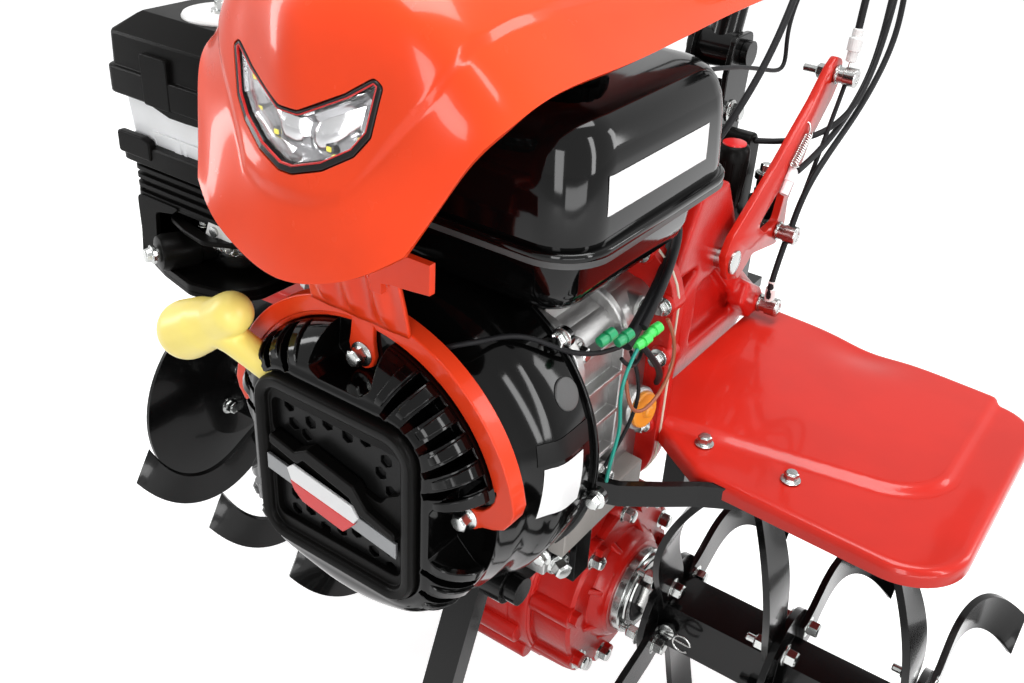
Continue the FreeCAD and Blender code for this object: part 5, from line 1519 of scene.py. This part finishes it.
def build_wires():
    """The wire over the fan cover, the loom beside the cylinder, its connectors and its loose wires."""
    for name, r, way in (
            ("cover_wire", 1.9, [
                (54, -248, 545), (61, -244, 549), (69, -234, 549), (75, -213, 547), (82, -198, 543),
                (90, -186, 536), (99, -174, 527), (106, -158, 519), (111, -138, 513), (114, -120, 511)]),
            ("loom_sleeve", 5.2, [
                (70, 30, 552), (86, 6, 548), (98, -24, 540), (108, -58, 532), (112, -88, 520),
                (114, -112, 508)]),
            ("loom_sleeve_b", 3.6, [
                (74, 24, 556), (92, 2, 556), (104, -30, 546), (114, -66, 532), (118, -96, 518)])):
        cable(name, way, r, "rubber")
    plug = [(0, 2), (0.5, 3.8), (6, 4.4), (6.4, 3.2), (8, 3.2), (8.4, 4.6), (15, 4.2), (15.5, 2)]
    for k, (y, z, shade_of_green) in enumerate(((-104, 505, ""), (-88, 507, ""), (-134, 522, "_dark"),
                                                (-160, 534, "_dark"))):
        lathe("connector_%d" % k, (118, y, z), (0.2, 0.93, 0.22), plug, "connector_green" + shade_of_green,
              segments=16)
    for name, r, mat, way in (
            ("wire_teal", 1.5, "wire_teal", [
                (120, -104, 504), (121, -122, 492), (119, -122, 466), (122, -116, 440), (120, -126, 416),
                (118, -124, 394)]),
            ("wire_brown", 1.5, "wire_brown", [
                (120, -60, 510), (124, -48, 490), (124, -44, 462), (122, -62, 440), (120, -88, 436),
                (118, -104, 452), (116, -108, 478)]),
            ("wire_black_a", 2.6, "rubber", [
                (118, -92, 500), (124, -80, 484), (122, -60, 462), (112, -44, 444), (104, -30, 430)]),
            ("wire_black_b", 1.6, "rubber",
             [(116, -120, 502), (122, -112, 488), (118, -92, 484), (112, -80, 496)]),
            ("wire_black_c", 1.6, "rubber", [
                (112, -98, 496), (118, -88, 470), (116, -80, 440), (110, -92, 410), (102, -110, 380)])):
        cable(name, way, r, mat)


# ---------------------------------------------------------------- rotor hardware, fender bolts, wheel
def build_fender_bolts():
    """The pair of screws on each fender's raised panel."""
    for side, name in ((1, "left"), (-1, "right")):
        for k, (x, y) in enumerate(((154, -30), (229, -30))):
            bolt("fender_bolt_%s_%d" % (name, k), (side * x, y, 393.2), (0, 0, 1), 10, height=0.62,
                 washer=1.1)


def rotor_bolts(side):
    """Bolts that hold the blades to their flanges, and the axle's clip pins."""
    name = "left" if side > 0 else "right"
    body = "tine_rotor"
    for i, x in enumerate((134.0, 248.0, 362.0)):
        for k in range(4):
            a = math.radians(112 + 90 * k + 12 * i)
            y, z = 40 * math.cos(a), AXLE_Z + 40 * math.sin(a)
            bolt("rotor_bolt_%s_%d_%d" % (name, i, k), (side * (x + 8), y, z), (side, 0, 0), 13, body,
                 height=0.7)
            bolt("rotor_nut_%s_%d_%d" % (name, i, k), (side * (x - 8), y, z), (-side, 0, 0), 12, body,
                 height=0.8, shank=7)
    lathe("clip_pin_" + name, (side * 150, -31, AXLE_Z), (0, 1, 0),
          [(-2, 5), (-1, 8), (3, 8), (3.5, 4.4), (60, 4.4), (64, 4.4), (65, 3)], "zinc", body, segments=20)
    ring = [(side * (154 + 9 * math.cos(t) + 14), -36, AXLE_Z + 9 * math.sin(t))
            for t in (2 * math.pi * k / 16 for k in range(15))]
    cable("clip_ring_" + name, [(side * 150, -35, AXLE_Z), (side * 158, -36, AXLE_Z + 2)] + ring, 1.1,
          "steel", body)
    for k in range(3):
        a = math.radians(90 + 120 * k)
        bolt("disc_bolt_%s_%d" % (name, k), (side * 440.5, 26 * math.cos(a), AXLE_Z + 26 * math.sin(a)),
             (-side, 0, 0), 13, body, height=0.7)


def build_wheel():
    """The front wheel's tyre: its turned skin and 36 pairs of tread blocks."""
    centre_y, r0, r1, half = -262.0, 54.0, 85.0, 19.0
    profile = [(-half + 4, r0), (-half, r0 + 5), (-half, r1 - 14), (-half + 2.5, r1 - 6),
               (-half + 6, r1 - 2.4), (-6, r1 - 1.2), (6, r1 - 1.2), (half - 6, r1 - 2.4),
               (half - 2.5, r1 - 6), (half, r1 - 14), (half, r0 + 5), (half - 4, r0)]
    tyre = lathe("tyre_skin", (0, centre_y, r1), (1, 0, 0), profile, "tyre", "front_wheel", segments=96,
                 angle=50)
    blocks = []
    for k in range(36):
        for s in (-1, 1):
            a = 2 * math.pi * (k + 0.25 * s) / 36
            out = Vector((0, math.cos(a), math.sin(a)))
            across = Vector((0, -math.sin(a), math.cos(a)))
            verts = []
            for x, rise in ((1.5, 1.0), (half - 3, -2.2)):
                for w in (-3.2, 3.2):
                    for r in (-4, rise):
                        verts.append(at(s * x, centre_y, r1) + (out * (r1 - 1.2 + r) + across * w) * MM)
            faces = [(0, 1, 3, 2), (4, 6, 7, 5), (0, 4, 5, 1), (2, 3, 7, 6), (1, 5, 7, 3), (0, 2, 6, 4)]
            blocks.append(make("block", verts, faces, "tyre", "front_wheel", smooth=False))
    tread = joined("tyre_tread", blocks)
    for piece in (tyre, tread):
        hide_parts("front_tyre")


build_hood()
build_lamp()
build_tank()
build_fender()
build_fender_bolts()
build_fan_cover()
build_starter()
build_hoop()
build_hood_bracket()
build_handle()
build_air_cleaner()
build_intake_tray()
build_carburettor()
build_crankcase()
build_gear_case()
build_gear_housing()
build_mount_parts()
build_clutch_lever()
build_shift_lever()
build_bracket()
build_cables()
build_cable_block()
build_wires()
rotor_bolts(1)
rotor_bolts(-1)
build_wheel()


# ---------------------------------------------------------------- studio
def seen_rays(tree):
    """Socket that is 1 for the rays by which the background itself is seen, also in gloss and glass."""
    path = tree.nodes.new("ShaderNodeLightPath")
    last = path.outputs["Is Camera Ray"]
    for kind in ("Is Glossy Ray", "Is Transmission Ray"):
        either = tree.nodes.new("ShaderNodeMath")
        either.operation = "MAXIMUM"
        tree.links.new(last, either.inputs[0])
        tree.links.new(path.outputs[kind], either.inputs[1])
        last = either.outputs[0]
    return last


def studio():
    """White surroundings, the floor sheet and six soft boxes."""
    scene = bpy.context.scene
    scene.view_settings.view_transform = "Standard"
    world = bpy.data.worlds.new("studio")
    world.use_nodes = True
    tree = world.node_tree
    tree.nodes.clear()
    out = tree.nodes.new("ShaderNodeOutputWorld")
    seen = tree.nodes.new("ShaderNodeBackground")
    lit = tree.nodes.new("ShaderNodeBackground")
    mix = tree.nodes.new("ShaderNodeMixShader")
    seen.inputs["Color"].default_value = (1, 1, 1, 1)
    seen.inputs["Strength"].default_value = 1.0
    lit.inputs["Color"].default_value = (0.95, 0.97, 1.0, 1)
    lit.inputs["Strength"].default_value = 0.14
    tree.links.new(seen_rays(tree), mix.inputs[0])
    tree.links.new(lit.outputs[0], mix.inputs[1])
    tree.links.new(seen.outputs[0], mix.inputs[2])
    tree.links.new(mix.outputs[0], out.inputs[0])
    scene.world = world

    reach = 9
    corners = [(-reach, -reach, 0), (reach, -reach, 0), (reach, reach, 0), (-reach, reach, 0)]
    floor = placed("floor", mesh_of("floor", corners, [(0, 1, 2, 3)]))
    n = Nodes("floor_white")
    n.link(n.ramp(n.noise(1.5), 0.3, 0.7, (0.27, 0.27, 0.27), (0.29, 0.29, 0.29)), 0, n.bsdf, "Base Color")
    n.settle(Roughness=0.9, Specular_IOR_Level=0.1)
    # the camera and gloss see the sheet bright, with soft contact shadows; as a light it is dim
    white = n.add("ShaderNodeBsdfDiffuse", Color=(0.75, 0.75, 0.75, 1))
    glow = n.add("ShaderNodeEmission", Strength=0.78)
    both = n.add("ShaderNodeAddShader")
    seen = n.add("ShaderNodeMixShader")
    n.link(white, 0, both, 0)
    n.link(glow, 0, both, 1)
    n.tree.links.new(seen_rays(n.tree), seen.inputs[0])
    n.link(n.bsdf, 0, seen, 1)
    n.link(both, 0, seen, 2)
    n.link(seen, 0, n.out, 0)
    floor.data.materials.append(n.mat)

    def softbox(name, place, aim, size, power):
        light = bpy.data.lights.new(name, "AREA")
        light.shape = "RECTANGLE"
        light.size, light.size_y = size
        light.energy = power
        lamp = placed(name, light)
        lamp.location = place
        lamp.rotation_euler = (Vector(aim) - Vector(place)).to_track_quat("-Z", "Y").to_euler()

    softbox("top", (0.3, -0.2, 2.6), (0, -0.1, 0.4), (1.7, 1.0), 56)
    softbox("left_side", (2.5, -0.5, 1.5), (0, -0.1, 0.5), (0.35, 2.2), 34)
    softbox("right_side", (-2.2, -1.5, 1.4), (0, -0.2, 0.5), (0.35, 2.0), 30)
    softbox("front", (1.2, -2.8, 1.0), (0, 0, 0.35), (0.7, 1.6), 34)
    softbox("rear", (2.2, 1.9, 1.5), (0, 0, 0.55), (0.5, 1.6), 22)
    softbox("low", (2.0, -1.6, 0.25), (0, 0, 0.3), (1.6, 0.3), 10)


def camera():
    """The photo's camera."""
    place = at(420.1, -716.7, 907.6)
    azimuth, elevation, roll = (math.radians(v) for v in (33.3, 30.6, 3.7))
    level = math.cos(elevation)
    back = Vector((math.sin(azimuth) * level, -math.cos(azimuth) * level, math.sin(elevation)))
    right = Vector((math.cos(azimuth), math.sin(azimuth), 0))
    up = back.cross(right)
    right, up = right * math.cos(roll) + up * math.sin(roll), up * math.cos(roll) - right * math.sin(roll)
    turn = Matrix((right, up, back)).transposed().to_4x4()
    data = bpy.data.cameras.new("camera")
    data.lens = 38.18
    data.shift_x = -0.0079
    data.shift_y = -0.0038
    data.clip_start = 0.05
    obj = placed("camera", data)
    obj.matrix_world = Matrix.Translation(place) @ turn
    bpy.context.scene.camera = obj


studio()
camera()
